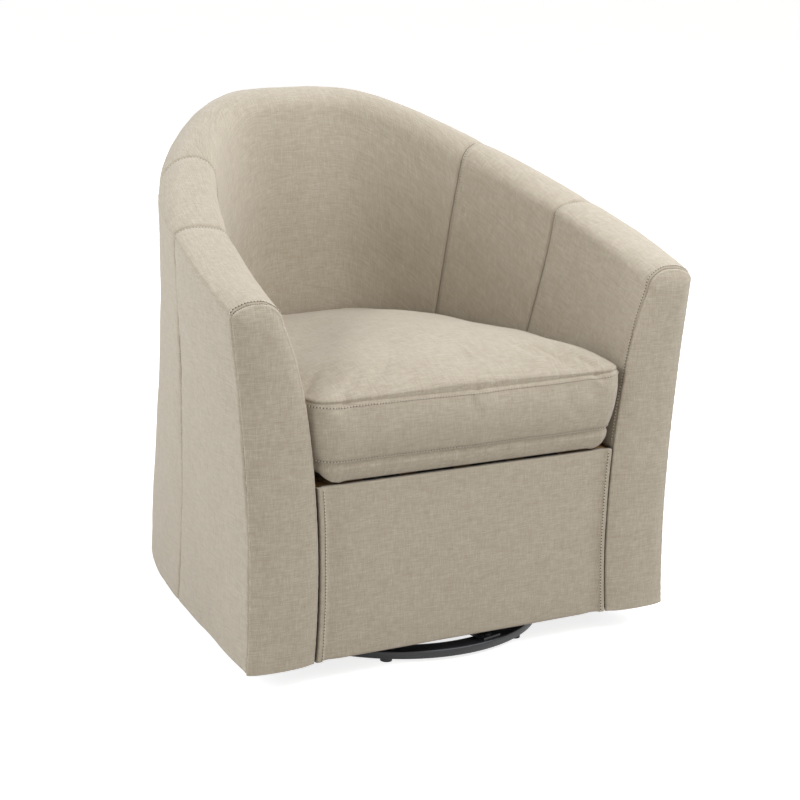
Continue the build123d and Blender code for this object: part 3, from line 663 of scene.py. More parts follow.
# ---------------------------------------------------------------- the tub's form
@dataclass(frozen=True)
class TubWall:
    """The wall that the frame's solids follow: one section, carried round the tub.

    At a turn T of 0 to pi, from the right arm front round the back to the left one, the
    section stands square to the turn. Its four curves are cubic Beziers: outer side, outer half
    of the roll, inner half of the roll, inner side. Each size of it is a smooth curve through
    its four values at the front, the arm's seam, the shoulder and the back.
    """

    front_y: float = -350.0
    back_y: float = 350.0
    foot_z: float = 32.0
    half_width: float = 363.0
    side_taper: float = 0.124
    width_power: float = 0.764
    depth_power: float = 0.406
    front_lean: float = 21.0
    lean_height: float = 530.0
    lean_fade: float = 0.25
    places: tuple = (0.0, 0.343, 0.65, 1.0)
    crest_power: float = 4.0
    crest_height: tuple = (559.0, 623.0, 695.0, 763.0)
    crest_inset: tuple = (17.1, 0.2, 47.0, 88.0)
    outer_roll: tuple = (43.0, 37.0, 52.0, 46.0)
    outer_drop: tuple = (19.0, 16.0, 58.0, 90.0)
    inner_roll: tuple = (40.0, 48.0, 36.0, 46.0)
    inner_drop: tuple = (33.0, 18.0, 36.0, 36.0)
    inner_swell: tuple = (105.0, 47.0, 98.0, 172.0)
    inner_foot: tuple = (111.0, 97.0, 97.0, 180.0)
    waist: tuple = (14.0, 2.0, 0.0, 8.0)
    arc: float = 0.5523
    shoulder_flare: float = 11.0
    waist_reach: float = 0.41
    shoulder_reach: float = 0.197
    swell_reach: float = 0.19
    inner_foot_reach: float = 0.337
    inner_foot_full: float = 15.0

    def size(self, depth: Grid, four: tuple) -> Grid:
        """Give a size at each depth, on the curve a + b d + c d^2 + e d^4 through four values.

        Args:
            depth: depths, 0 at the front and 1 at the back.
            four: the size at each of the four places.

        Returns:
            The size at each depth.
        """
        places = np.array(self.places)
        powers = (0, 1, 2, self.crest_power)
        factors = np.linalg.solve(np.stack([places**p for p in powers], axis=1), np.array(four))
        return sum(f * depth**p for f, p in zip(factors, powers))

    def depth(self, turn: Grid) -> Grid:
        """Give the depth, 0 at the front and 1 at the back: the turn's sine to a power."""
        return np.maximum(np.sin(turn), 0.0) ** self.depth_power

    def turn_at(self, depth: float) -> float:
        """Give the right half's turn at a depth."""
        return math.asin(min(depth, 1.0) ** (1 / self.depth_power))

    def half_turns(self, first: float, last: float, count: int) -> Grid:
        """Turns of the right half: even in depth near the front, then even to the back.

        Args:
            first: depth of the first.
            last: depth up to which they are even in depth.
            count: number in each part.

        Returns:
            Rising turns, the last a quarter turn.
        """
        near = np.array([self.turn_at(d) for d in np.linspace(first, last, count)])
        return np.concatenate([near, np.linspace(near[-1], math.pi / 2, count)[1:]])

    def controls(self, turn: Grid) -> Grid:
        """Give the control points of the four curves.

        Args:
            turn: any array of turns.

        Returns:
            Array of the turn's shape with (curve, point, inset or height) added.
        """
        d = self.depth(turn)
        crest, middle = self.size(d, self.crest_height), self.size(d, self.crest_inset)
        outer = middle - self.size(d, self.outer_roll)
        inner = middle + self.size(d, self.inner_roll)
        fall_out, fall_in = self.size(d, self.outer_drop), self.size(d, self.inner_drop)
        seam, shoulder = crest - fall_out, crest - fall_in
        high, deep = seam - self.foot_z, shoulder - self.foot_z
        zero, k = np.zeros_like(d), self.arc
        swell, foot = self.size(d, self.inner_swell), self.size(d, self.inner_foot)
        waist = self.size(d, self.waist)
        curves = [
            [(zero, self.foot_z + zero), (waist, self.foot_z + self.waist_reach * high),
             (outer + self.shoulder_flare, seam - self.shoulder_reach * high), (outer, seam)],
            [(outer, seam), (outer, crest - (1 - k) * fall_out),
             (middle - k * (middle - outer), crest), (middle, crest)],
            [(middle, crest), (middle + k * (inner - middle), crest),
             (inner, crest - (1 - k) * fall_in), (inner, shoulder)],
            [(inner, shoulder), (swell, shoulder - self.swell_reach * deep),
             (foot + self.inner_foot_full, self.foot_z + self.inner_foot_reach * deep),
             (foot, self.foot_z + zero)],
        ]
        return np.stack([np.stack([np.stack(p, axis=-1) for p in c], axis=-2) for c in curves],
                        axis=-3)

    def section(self, turn: Grid, stretch: Grid) -> tuple[Grid, Grid]:
        """Give inset and height where a stretch of 0 to 4 runs along the section.

        Args:
            turn: turns.
            stretch: the curve's number plus its Bezier parameter, of the same shape.

        Returns:
            Inset from the foot of the outer side, and height.
        """
        curve = np.clip(np.floor(stretch), 0, 3).astype(int)
        t = (stretch - curve)[..., None]
        four = np.take_along_axis(self.controls(turn), curve[..., None, None, None], axis=-3)
        a, b, c, e = (four[..., 0, i, :] for i in range(4))
        place = (1 - t) ** 3 * a + 3 * (1 - t) ** 2 * t * b + 3 * (1 - t) * t**2 * c + t**3 * e
        return place[..., 0], place[..., 1]

    def place(self, turn: Grid, inset: Grid, height: Grid) -> Grid:
        """Put inset and height into the chair's axes.

        The section starts on x = W sign(cos T) |cos T|^p, y = depth, steps inwards along
        (cos T, sin T), and leans back with its height near the front.

        Args:
            turn: turns.
            inset: distance inwards.
            height: height.

        Returns:
            Points in millimetres.
        """
        c, s, d = np.cos(turn), np.sin(turn), self.depth(turn)
        y = self.front_y + (self.back_y - self.front_y) * d
        width = self.half_width - self.side_taper * (y - self.front_y)
        x = width * np.sign(c) * np.abs(c) ** self.width_power
        lean = self.front_lean / self.lean_height * np.exp(-d / self.lean_fade)
        return np.stack([x - inset * c, y - inset * s + lean * (height - self.foot_z), height],
                        axis=-1)

    def surface(self, turn: Grid, stretch: Grid) -> Grid:
        """Points of the wall at turns and stretches of the same shape."""
        return self.place(turn, *self.section(turn, stretch))

    def runs(self) -> tuple[Grid, Grid]:
        """Table of turn against the distance run round the foot.

        Returns:
            Turns from 0 to pi and the distance at each, in millimetres.
        """
        half = self.half_turns(0, 0.65, 300)
        turns = np.concatenate([half, math.pi - half[-2::-1]])
        flat = np.zeros_like(turns)
        return turns, steps_between(self.place(turns, flat, flat + self.foot_z), 0)

    def inside_stretch(self, turn: Grid, height: Grid | float) -> Grid:
        """Stretch from 3 to 4 at which the inner side passes a height."""
        return halved(np.full_like(turn, 3.0), np.full_like(turn, 4.0),
                      lambda stretch: self.section(turn, stretch)[1] > height)

    def ending_at(self, turn: Grid, stretch: Grid, end_height: float) -> Grid:
        """Shorten the inner side so that a stretch of 4 is at the height where it ends.

        Args:
            turn: turns.
            stretch: stretches of the same shape.
            end_height: height of the end.

        Returns:
            Stretches of the whole section.
        """
        reach = self.inside_stretch(turn, end_height) - 3
        return np.where(stretch > 3, 3 + (stretch - 3) * reach, stretch)

    def seam_run(self, depth: float, slope: float, stretch: Grid, end_height: float) -> Grid:
        """Find a slanted seam: the plane across the wall where two panels meet.

        Args:
            depth: its depth at the crest.
            slope: how far it slants with the height.
            stretch: stretches of the rows.
            end_height: where the inside rows end.

        Returns:
            Distance run from the right front at which the seam crosses each row.
        """
        turns, runs = self.runs()
        turn = np.array(self.turn_at(depth))
        crest = self.size(self.depth(turn), self.crest_height)
        origin = self.place(turn, np.array(0.0), crest)
        normal = np.array([-math.sin(turn), math.cos(turn), slope])

        def before(run: Grid) -> Grid:
            """Tell whether the wall is still in front of the seam."""
            at = np.interp(run, runs, turns)
            return (self.surface(at, self.ending_at(at, stretch, end_height)) - origin) @ normal < 0

        return halved(np.zeros_like(stretch), np.full_like(stretch, runs[-1] / 2), before)


# ---------------------------------------------------------------- upholstery
@dataclass(frozen=True)
class Sewing:
    """Sizes of the seams in the cover, in millimetres."""

    valley: float = 2.4
    valley_width: float = 2.8
    fall: float = 1.5
    fall_width: float = 15.0
    pucker: float = 0.5
    pucker_pitch: float = 11.0
    pucker_reach: float = 9.0
    pucker_drift: float = 1.7
    pucker_drift_run: float = 37.0
    turn_in: float = 1.5
    flange: float = 9.0
    fold_radius: float = 3.0
    swell_reach: float = 28.0
    loose: float = 0.45
    loose_fine: float = 0.135
    broad_wave: float = 150.0
    fine_wave: float = 46.0

    def offset(self, away: Grid, along: Grid, rim: Rim) -> Grid:
        """How far the cover stands off its smooth form beside an edge.

        A seam pulls it in as a narrow valley and a wide soft fall, both dying away with the
        distance, and gathers it in small puckers along the seam. A fold rounds it off.

        Args:
            away: distance from the edge.
            along: distance along the edge.
            rim: kind of edge.

        Returns:
            Offsets, outwards positive.
        """
        if rim is Rim.HIDDEN:
            return np.zeros_like(away)
        if rim is Rim.FOLD:
            left = np.clip(1 - away / self.fold_radius, 0, 1)
            return -self.fold_radius * (1 - np.sqrt(np.clip(1 - left**2, 0, 1)))
        valley = -self.valley * np.exp(-((away / self.valley_width) ** 2))
        fall = -self.fall * np.exp(-away / self.fall_width)
        beat = np.sin(2 * math.pi * along / self.pucker_pitch
                      + self.pucker_drift * np.sin(along / self.pucker_drift_run))
        return valley + fall + self.pucker * beat * np.exp(-away / self.pucker_reach)

    def dress(self, points: Grid, rims: tuple[Rim, Rim, Rim, Rim], seed: int,
              swell: float) -> Patch:
        """Dress a smooth grid: seams at its edges, a slight swell between, soft unevenness.

        The cloth is laid along the rows from their middle, and down the columns.

        Args:
            points: the smooth grid.
            rims: kinds of its first column, last column, first row and last row.
            seed: picks the unevenness, and where the panel was cut from the cloth.
            swell: how far the middle stands out.

        Returns:
            The panel, with hidden flanges added round it.
        """
        along, down = steps_between(points, 1), steps_between(points, 0)
        away = [along, along[:, -1:] - along, down, down[-1:] - down]
        offset = self.loose * soft_waves(points, self.broad_wave, seed) \
            + self.loose_fine * soft_waves(points, self.fine_wave, seed + 1)
        nearest = np.full(points.shape[:2], np.inf)
        for distance, run, rim in zip(away, [down, down, along, along], rims):
            offset = offset + self.offset(distance, run, rim)
            nearest = nearest if rim is Rim.HIDDEN else np.minimum(nearest, distance)
        offset = offset + swell * (1 - np.exp(-nearest / self.swell_reach))
        normal = normals_of(points)
        dressed = points + offset[..., None] * normal
        for axis in (1, 0):
            first, last = np.take(dressed, [0], axis=axis), np.take(dressed, [-1], axis=axis)
            n_first, n_last = np.take(normal, [0], axis=axis), np.take(normal, [-1], axis=axis)
            dressed = np.concatenate(
                [first - self.flange * n_first, first - self.turn_in * n_first, dressed,
                 last - self.turn_in * n_last, last - self.flange * n_last], axis=axis)
            normal = np.concatenate([n_first, n_first, normal, n_last, n_last], axis=axis)
        along = steps_between(dressed, 1)
        cut = np.stack([along - along[:, -1:] / 2, steps_between(dressed, 0)], axis=2) * MM
        return Patch(dressed, cut + np.array([0.13, 0.071]) * seed)


@dataclass(frozen=True)
class StitchRow:
    """A row of topstitches: small capsules, each laid on the cloth between two needle holes."""

    pitch: float = 4.7
    length: float = 3.0
    radius: float = 0.8
    lift: float = 0.35
    hole: float = 1.15
    hole_width: float = 0.95
    hole_rim: float = 0.12
    hole_middle: float = 0.3

    def stitches(self, path: Grid, normal: Grid) -> list[Patch]:
        """Build the stitches along a line.

        Each is a tube of five sides round an arched axis, its radius the square root of a
        half-ellipse, closed to a point at both ends.

        Args:
            path: points of the line, in millimetres.
            normal: the cloth's normal at each.

        Returns:
            One patch for each stitch.
        """
        run = steps_between(path, 0)
        count = int(run[-1] / self.pitch)
        middle = (np.arange(count) + 0.5) * run[-1] / max(count, 1)
        t = np.array([-1.0, -0.72, 0.0, 0.72, 1.0])
        places = middle[:, None] + t[None, :] * self.length / 2
        axis = read_at(path, run, places)
        up = unit(read_at(normal, run, places))
        side = unit(np.cross(np.gradient(axis, axis=1), up))
        thick = self.radius * np.sqrt(np.clip(1 - t**2, 0, 1))
        arch = self.lift + self.radius * 0.8 - (self.lift + self.radius * 1.4) * t**4
        angle = np.linspace(0, 2 * math.pi, 6)[None, :, None, None]
        ring = side[:, None] * np.cos(angle) + up[:, None] * np.sin(angle)
        tube = (axis + up * arch[:, None])[:, None] + ring * thick[:, None]
        return [Patch(one, np.zeros((*one.shape[:2], 2))) for one in tube]

    def holes(self, path: Grid, normal: Grid) -> list[Patch]:
        """Build the needle holes: small shallow cones of shadow between the stitches.

        Args:
            path: points of the line, in millimetres.
            normal: the cloth's normal at each.

        Returns:
            One patch for each hole.
        """
        run = steps_between(path, 0)
        count = int(run[-1] / self.pitch)
        at = np.arange(1, count) * run[-1] / max(count, 1)
        spot = read_at(path, run, at)
        ahead = unit(read_at(path, run, at + 0.5) - spot)
        up = unit(read_at(normal, run, at))
        angle = np.linspace(0, 2 * math.pi, 7)[None, :, None]
        ring = spot[:, None] + np.cross(ahead, up)[:, None] * (self.hole_width * np.cos(angle)) \
            + ahead[:, None] * (self.hole * np.sin(angle))
        middle = (spot + self.hole_middle * up)[:, None] + 0 * ring
        both = np.stack([middle, ring + self.hole_rim * up[:, None]], axis=1)
        return [Patch(one, np.zeros((*one.shape[:2], 2))) for one in both]

    def sew(self, name: str, lines: list[Line], materials: Materials,
            thread: bool = True) -> None:
        """Sew rows of stitches: their needle holes, dark with painted shade, as one piece, their
        thread as another.

        Args:
            name: name of the piece.
            lines: path and normals of each row.
            materials: the finishes.
            thread: lay thread as well, and not only the holes of painted shade along a closed seam.
        """
        holes = [p for line in lines for p in self.holes(*line)]
        make_piece(name + "_holes" if thread else name, holes, materials.get(NEEDLE_HOLE_SHADE),
                   Body.CHAIR)
        if thread:
            stitches = [p for line in lines for p in self.stitches(*line)]
            make_piece(name, stitches, materials.get(THREAD), Body.CHAIR)


def offset_line(points: Grid, column: Grid | float, rows: slice = slice(None)) -> Line:
    """Read a line across a dressed grid at one distance from its first column.

    Args:
        points: the grid.
        column: distance along each row at which the line runs.
        rows: rows that it takes.

    Returns:
        Points and normals of the line.
    """
    along, normal = steps_between(points, 1), normals_of(points)
    wanted = np.broadcast_to(column, along.shape[:1])
    after = np.clip((along < wanted[:, None]).sum(axis=1), 1, along.shape[1] - 1)
    i = np.arange(along.shape[0])
    gap = np.maximum(along[i, after] - along[i, after - 1], 1e-9)
    t = ((wanted - along[i, after - 1]) / gap)[:, None]
    path, facing = ((1 - t) * g[i, after - 1] + t * g[i, after] for g in (points, normal))
    return path[rows], facing[rows]


def beside_edge(points: Grid, edge: int, away: float, trim: int = 3) -> Line:
    """Read a line along one edge of a dressed panel.

    Args:
        points: the grid.
        edge: 0 for the first column, 1 for the last, 2 for the first row, 3 for the last.
        away: distance from the very edge, flange included.
        trim: points left out at each end.

    Returns:
        Points and normals of the line.
    """
    turned = points if edge < 2 else np.swapaxes(points, 0, 1)
    grid = turned if edge % 2 == 0 else turned[:, ::-1]
    path, facing = offset_line(grid, away, slice(trim, -trim))
    return path, facing * (1 if edge in (0, 3) else -1)


@dataclass(frozen=True)
class Panel:
    """One panel between two seams, which of its edges are drawn with a dark line of painted seam
    shade, and which are topstitched.
    """

    name: str
    first: str
    last: str
    drawn: tuple[int, ...]
    stitched: tuple[int, ...] = ()


@dataclass(frozen=True)
class PanelGroup:
    """Panels that share their rows, rims and swell."""

    panels: tuple[Panel, ...]
    ends: tuple[float, float]
    fine: tuple[bool, bool]
    rims: tuple[Rim, Rim, Rim, Rim]
    seed: int
    swell: float
    slot: Slot


OUTSIDE = PanelGroup((
    Panel("outer_side_cover_right", "front", "arm", (1,)),
    Panel("outer_back_cover", "arm", "arm_left", (1,)),
    Panel("outer_side_cover_left", "arm_left", "front_left", (1, 0)),
), (0.0, 1.0), (True, True), (Rim.SEAM, Rim.SEAM, Rim.FOLD, Rim.SEAM), 11, 0.6,
    Slot.UPHOLSTERY)
INSIDE = PanelGroup((
    Panel("arm_front_panel_right", "front", "arm", (0, 2), (1,)),
    Panel("arm_rear_panel_right", "arm", "back", (0, 2), (1,)),
    Panel("inside_back_panel", "back", "back_left", (0, 2)),
    Panel("arm_rear_panel_left", "back_left", "arm_left", (0, 2), (0,)),
    Panel("arm_front_panel_left", "arm_left", "front_left", (0, 1, 2), (0,)),
), (1.0, 4.0), (True, False), (Rim.SEAM, Rim.SEAM, Rim.SEAM, Rim.HIDDEN), 23, 1.2,
    Slot.PADDED)


@dataclass
class TubUpholstery:
    """The fabric panels of the wall and the arm fronts."""

    wall: TubWall = field(default_factory=TubWall)
    sewing: Sewing = field(default_factory=Sewing)
    arm_seam: tuple[float, float] = (0.346, 0.114)
    back_seam: tuple[float, float] = (0.634, 0.08)
    front_seam: float = 7.0
    deck_height: float = 289.0
    step: float = 8.0
    cover: float = 1.5
    edge_round: float = 6.5
    edge_flange: float = 5.0
    front_step: float = 7.0
    front_pillow: float = 6.0
    pillow_fade: float = 20.0
    medial_drop: float = 46.0
    cap_rows: int = 34
    front_loose: float = 0.35
    front_pull: float = 0.8
    medial_calm: float = 12.0
    stitch_away: float = 5.0
    line_away: float = 0.7
    twin_away: float = 4.0
    front_line_away: float = 0.9
    # The seam row draws the wall's seams as dark lines of painted shade, standing in for the shadow
    # in the seam valleys.
    seam_shade_row: StitchRow = StitchRow(pitch=3.4, hole=1.45, hole_width=0.5)
    twin_row: StitchRow = StitchRow(radius=0.55, hole_width=0.6)
    seam_lines: list[Line] = field(default_factory=list)
    twin_lines: list[Line] = field(default_factory=list)
    front_lines: list[Line] = field(default_factory=list)

    def rows(self, low: float, high: float, fine: tuple[bool, bool]) -> Grid:
        """Stretches of the rows, even in length on the section beside the arm's seam.

        Args:
            low: first stretch.
            high: last stretch.
            fine: crowd the first and the last rows.

        Returns:
            Stretches.
        """
        dense = np.linspace(low, high, 600)
        turn = np.full_like(dense, self.wall.turn_at(0.5))
        real = self.wall.ending_at(turn, dense, self.deck_height)
        run = steps_between(self.wall.surface(turn, real), 0)
        return np.interp(graded(run[-1], self.step, *fine) * run[-1], run, dense)

    def panel(self, first: Grid, last: Grid, stretch: Grid) -> Grid:
        """Grid of the wall between two seams.

        Args:
            first: distance run at the first column, for each row.
            last: distance run at the last column, for each row.
            stretch: stretches of the rows.

        Returns:
            The smooth grid.
        """
        turns, runs = self.wall.runs()
        share = graded(float(np.mean(last - first)), self.step)
        run = first[:, None] + (last - first)[:, None] * share[None, :]
        turn = np.interp(run, runs, turns)
        rows = np.broadcast_to(stretch[:, None], turn.shape)
        return self.wall.surface(turn, self.wall.ending_at(turn, rows, self.deck_height))

    def seams(self, stretch: Grid) -> dict[str, Grid]:
        """Find where the seams run, from the right front round to the left.

        Args:
            stretch: stretches of the rows.

        Returns:
            Distance run at each stretch, by the seam's name.
        """
        total = self.wall.runs()[1][-1]
        found = {"front": np.full_like(stretch, self.front_seam),
                 "arm": self.wall.seam_run(*self.arm_seam, stretch, self.deck_height),
                 "back": self.wall.seam_run(*self.back_seam, stretch, self.deck_height)}
        return {**found, **{k + "_left": total - v for k, v in found.items()}}

    def build_group(self, group: PanelGroup,
                    materials: Materials) -> dict[str, bpy.types.Object]:
        """Build the panels of a group and keep the lines along their seams: painted seam shade and
        topstitches.

        Args:
            group: the panels.
            materials: the finishes.

        Returns:
            Each panel's piece, by the node that it stands for.
        """
        pieces = {}
        stretch = self.rows(*group.ends, group.fine)
        seam = self.seams(stretch)
        flange = self.sewing.flange
        for number, panel in enumerate(group.panels):
            smooth = self.panel(seam[panel.first], seam[panel.last], stretch)
            patch = self.sewing.dress(smooth, group.rims, group.seed + number, group.swell)
            pieces[panel.name] = make_piece(
                panel.name + "_fabric", [patch], materials.get(Slot.UPHOLSTERY), Body.CHAIR,
                self.cover)
            self.seam_lines += [beside_edge(patch.points, e, flange + self.line_away)
                                for e in panel.drawn]
            self.twin_lines += [beside_edge(patch.points, e, flange + self.twin_away, 4)
                                for e in panel.stitched]
            if panel.name.startswith("arm_front"):
                self.front_lines.append(beside_edge(
                    patch.points, int(panel.last == "front_left"), flange + self.stitch_away, 4))
        return pieces

    def build_outer(self, materials: Materials) -> None:
        """Build the outer covers.

        Args:
            materials: the finishes.
        """
        for name, piece in self.build_group(OUTSIDE, materials).items():
            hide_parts(name)

    def build_inner(self, materials: Materials) -> None:
        """Build the panels of crest and inside.

        Args:
            materials: the finishes.
        """
        for name, piece in self.build_group(INSIDE, materials).items():
            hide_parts(name)

    def arm_front_grid(self) -> Grid:
        """Grid of the right arm front.

        Rows follow the outline from the outer foot over the crest to the inner foot, at the
        same heights on both sides. Columns start behind the rounded edge, come round it on a
        quarter circle, and run on the flat front to the line midway between the two sides,
        where both sides meet. The front stands out by a pillow of 1 - (1 - share)^3.

        Returns:
            The smooth grid.
        """
        wall, radius = self.wall, self.edge_round
        crest_stretch = 1.999
        dense = np.linspace(0.0, 4.0, 1200)
        inset, height = wall.section(np.zeros_like(dense), dense)
        run = steps_between(np.stack([inset, height], axis=1), 0)
        focus = float(wall.size(np.array(0.0), wall.crest_height)) - self.medial_drop
        rising, falling = dense < crest_stretch, dense >= crest_stretch
        tall = focus - wall.foot_z
        steps = wall.foot_z + tall * graded(tall, self.front_step)
        up = np.interp(steps, height[rising], dense[rising])
        down = np.interp(steps, height[falling][::-1], dense[falling][::-1])[::-1]
        ends = np.interp([up[-1], down[0]], dense, run)
        cap = np.interp(np.linspace(*ends, self.cap_rows)[1:-1], run, dense)
        stretch = np.concatenate([up, cap, down])
        outline = np.stack(wall.section(np.zeros_like(stretch), stretch), axis=1)
        slope = unit(np.gradient(outline, axis=0))
        inwards = np.stack([slope[:, 1], -slope[:, 0]], axis=1)
        levels = np.linspace(wall.foot_z, focus, 80)
        rising, falling = stretch < crest_stretch, stretch >= crest_stretch
        outer = np.interp(levels, outline[rising, 1], outline[rising, 0])
        inner = np.interp(levels, outline[falling, 1][::-1], outline[falling, 0][::-1])
        aim_z = np.concatenate([steps, np.full(len(cap), focus), steps[::-1]])
        aim = np.stack([np.interp(aim_z, levels, (outer + inner) / 2), aim_z], axis=1)
        bend = np.linspace(0, math.pi / 2, 7)
        edge = outline[:, None] + inwards[:, None] * (radius * (1 - np.cos(bend)))[None, :, None]
        start = edge[:, -1]
        share = np.concatenate([[0.02, 0.05, 0.09, 0.14, 0.2], np.linspace(0.28, 1.0, 10)])
        flat = start[:, None] + (aim - start)[:, None] * share[None, :, None]
        both = np.concatenate([edge, flat], axis=1)
        fade = np.clip(np.linalg.norm(aim - start, axis=1) / self.pillow_fade, 0, 1)
        pillow = self.front_pillow * (1 - (1 - share) ** 3)[None, :] * fade[:, None]
        behind = np.concatenate([np.broadcast_to(-radius * np.sin(bend), edge.shape[:2]),
                                 -radius - pillow], axis=1) + self.front_seam
        smooth = wall.place(np.zeros(both.shape[:2]), both[..., 0], both[..., 1])
        smooth[..., 1] += behind
        return smooth[:, ::-1]

    def build_arm_fronts(self, materials: Materials) -> None:
        """Build the padded arm fronts, right and left.

        Args:
            materials: the finishes.
        """
        smooth = self.arm_front_grid()
        normal = normals_of(smooth)
        along, down = steps_between(smooth, 1), steps_between(smooth, 0)
        away = along[:, -1:] - along
        offset = self.front_loose * soft_waves(smooth, 110.0, 41) * np.clip(away / 20, 0, 1)
        offset += self.sewing.offset(away, down, Rim.SEAM) * self.front_pull
        offset[:, 0] = offset[:, 1]
        offset *= np.clip(along / self.medial_calm, 0, 1)
        points = smooth + offset[..., None] * normal
        last = points[:, -1:] - self.edge_flange * normal[:, -1:]
        points = np.concatenate([points, last], axis=1)
        for side, name in ((1, "right"), (-1, "left")):
            shown = (points * np.array([side, 1.0, 1.0]))[:, ::side]
            piece = make_piece(f"arm_front_cover_{name}_fabric",
                               [Patch(shown, shown[..., [0, 2]] * MM)],
                               materials.get(Slot.UPHOLSTERY), Body.CHAIR,
                               self.cover)
            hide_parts(f"arm_front_cover_{name}")
            self.seam_lines.append(beside_edge(shown, int(side > 0),
                                               self.edge_flange + self.front_line_away))

    def build_seams(self, materials: Materials) -> None:
        """Draw the wall's seams as dark lines of painted shade, and the topstitches beside them."""
        self.seam_shade_row.sew("wall_seam_shade_lines", self.seam_lines, materials, thread=False)
        self.twin_row.sew("wall_topstitch", self.twin_lines, materials)


@dataclass
class FrontPanel:
    """The padded panel under the cushion, with a stitched folded strip at each upright edge."""

    tub: TubUpholstery
    front_y: float = -346.0
    top_z: float = 289.0
    room: float = 1.4
    strip: float = 10.0
    strip_rise: float = 3.4
    strip_edge: float = 0.5
    stitch_inset: float = 1.8
    groove: float = 1.6
    groove_place: float = 0.8
    groove_width: float = 1.3
    dip: float = 2.6
    dip_place: float = 22.0
    dip_width: float = 11.0
    swell: float = 3.6
    swell_reach: float = 60.0
    swell_power: float = 0.4
    ripple: float = 0.315
    ripple_reach: float = 45.0
    ripple_pitch: float = 62.0
    ripple_slant: float = 30.0
    side_round: float = 2.0
    foot_round: float = 4.0
    turned_in: float = 9.0

    def grid(self) -> Grid:
        """Grid between the arm fronts, rows upwards from the foot, columns from left to right.

        The front stands out by a raised strip with a groove behind it, a soft dip, a swell
        that is a sine of the height, and slanting ripples that die away from the strip.

        Returns:
            The dressed grid, before its edges are turned in.
        """
        wall = self.tub.wall
        tall = self.top_z - wall.foot_z
        z = wall.foot_z + graded(tall, 8.0) * tall
        zero = np.zeros_like(z)
        inset = wall.section(zero, wall.inside_stretch(zero, z))[0]
        half = wall.place(zero, inset + self.room, z)[:, 0]
        fine = graded(2 * float(half.mean()), 9.0)
        x = (2 * fine[None, :] - 1) * half[:, None]
        up = z[:, None] - wall.foot_z
        away = half[:, None] - np.abs(x)
        groove = (away - self.strip - self.groove_place) / self.groove_width
        dip = (away - self.dip_place) / self.dip_width
        rise = self.strip_rise / (1 + np.exp((away - self.strip) / self.strip_edge))
        rise -= self.groove * np.exp(-(groove**2)) + self.dip * np.exp(-(dip**2))
        rise += self.swell * (1 - np.exp(-away / self.swell_reach)) * np.sin(
            math.pi * np.clip(up / tall, 0, 1)) ** self.swell_power
        rise += self.ripple * np.exp(-away / self.ripple_reach) * np.sin(
            2 * math.pi * z[:, None] / self.ripple_pitch + away / self.ripple_slant) * np.clip(
            (away - 12) / 10, 0, 1)
        for distance, radius in ((away, self.side_round), (up, self.foot_round)):
            left = np.clip(1 - distance / radius, 0, 1)
            rise -= radius * (1 - np.sqrt(1 - left**2))
        y = self.front_y + wall.front_lean / wall.lean_height * up - rise
        return np.stack([x, y, np.broadcast_to(z[:, None], x.shape)], axis=2)

    def build(self, materials: Materials) -> list[Line]:
        """Build the panel and find the stitch lines of its two strips.

        Args:
            materials: the finishes.

        Returns:
            Path and normals of each row of stitches.
        """
        shown = self.grid()
        shown[..., 1] -= 0.35 * soft_waves(shown, 120.0, 51)
        lines = [beside_edge(shown, edge, self.strip - self.stitch_inset, 2) for edge in (0, 1)]
        back = np.array([0.0, self.turned_in, 0.0])
        closed = np.concatenate([shown[:, :1] + back, shown, shown[:, -1:] + back], axis=1)
        closed = np.concatenate([closed[:1] + back, closed, closed[-1:] + back], axis=0)
        piece = make_piece("front_panel_fabric", [Patch(closed, closed[..., [0, 2]] * MM)],
                           materials.get(Slot.UPHOLSTERY), Body.CHAIR, 1.5)
        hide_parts("front_panel_cover")
        return lines


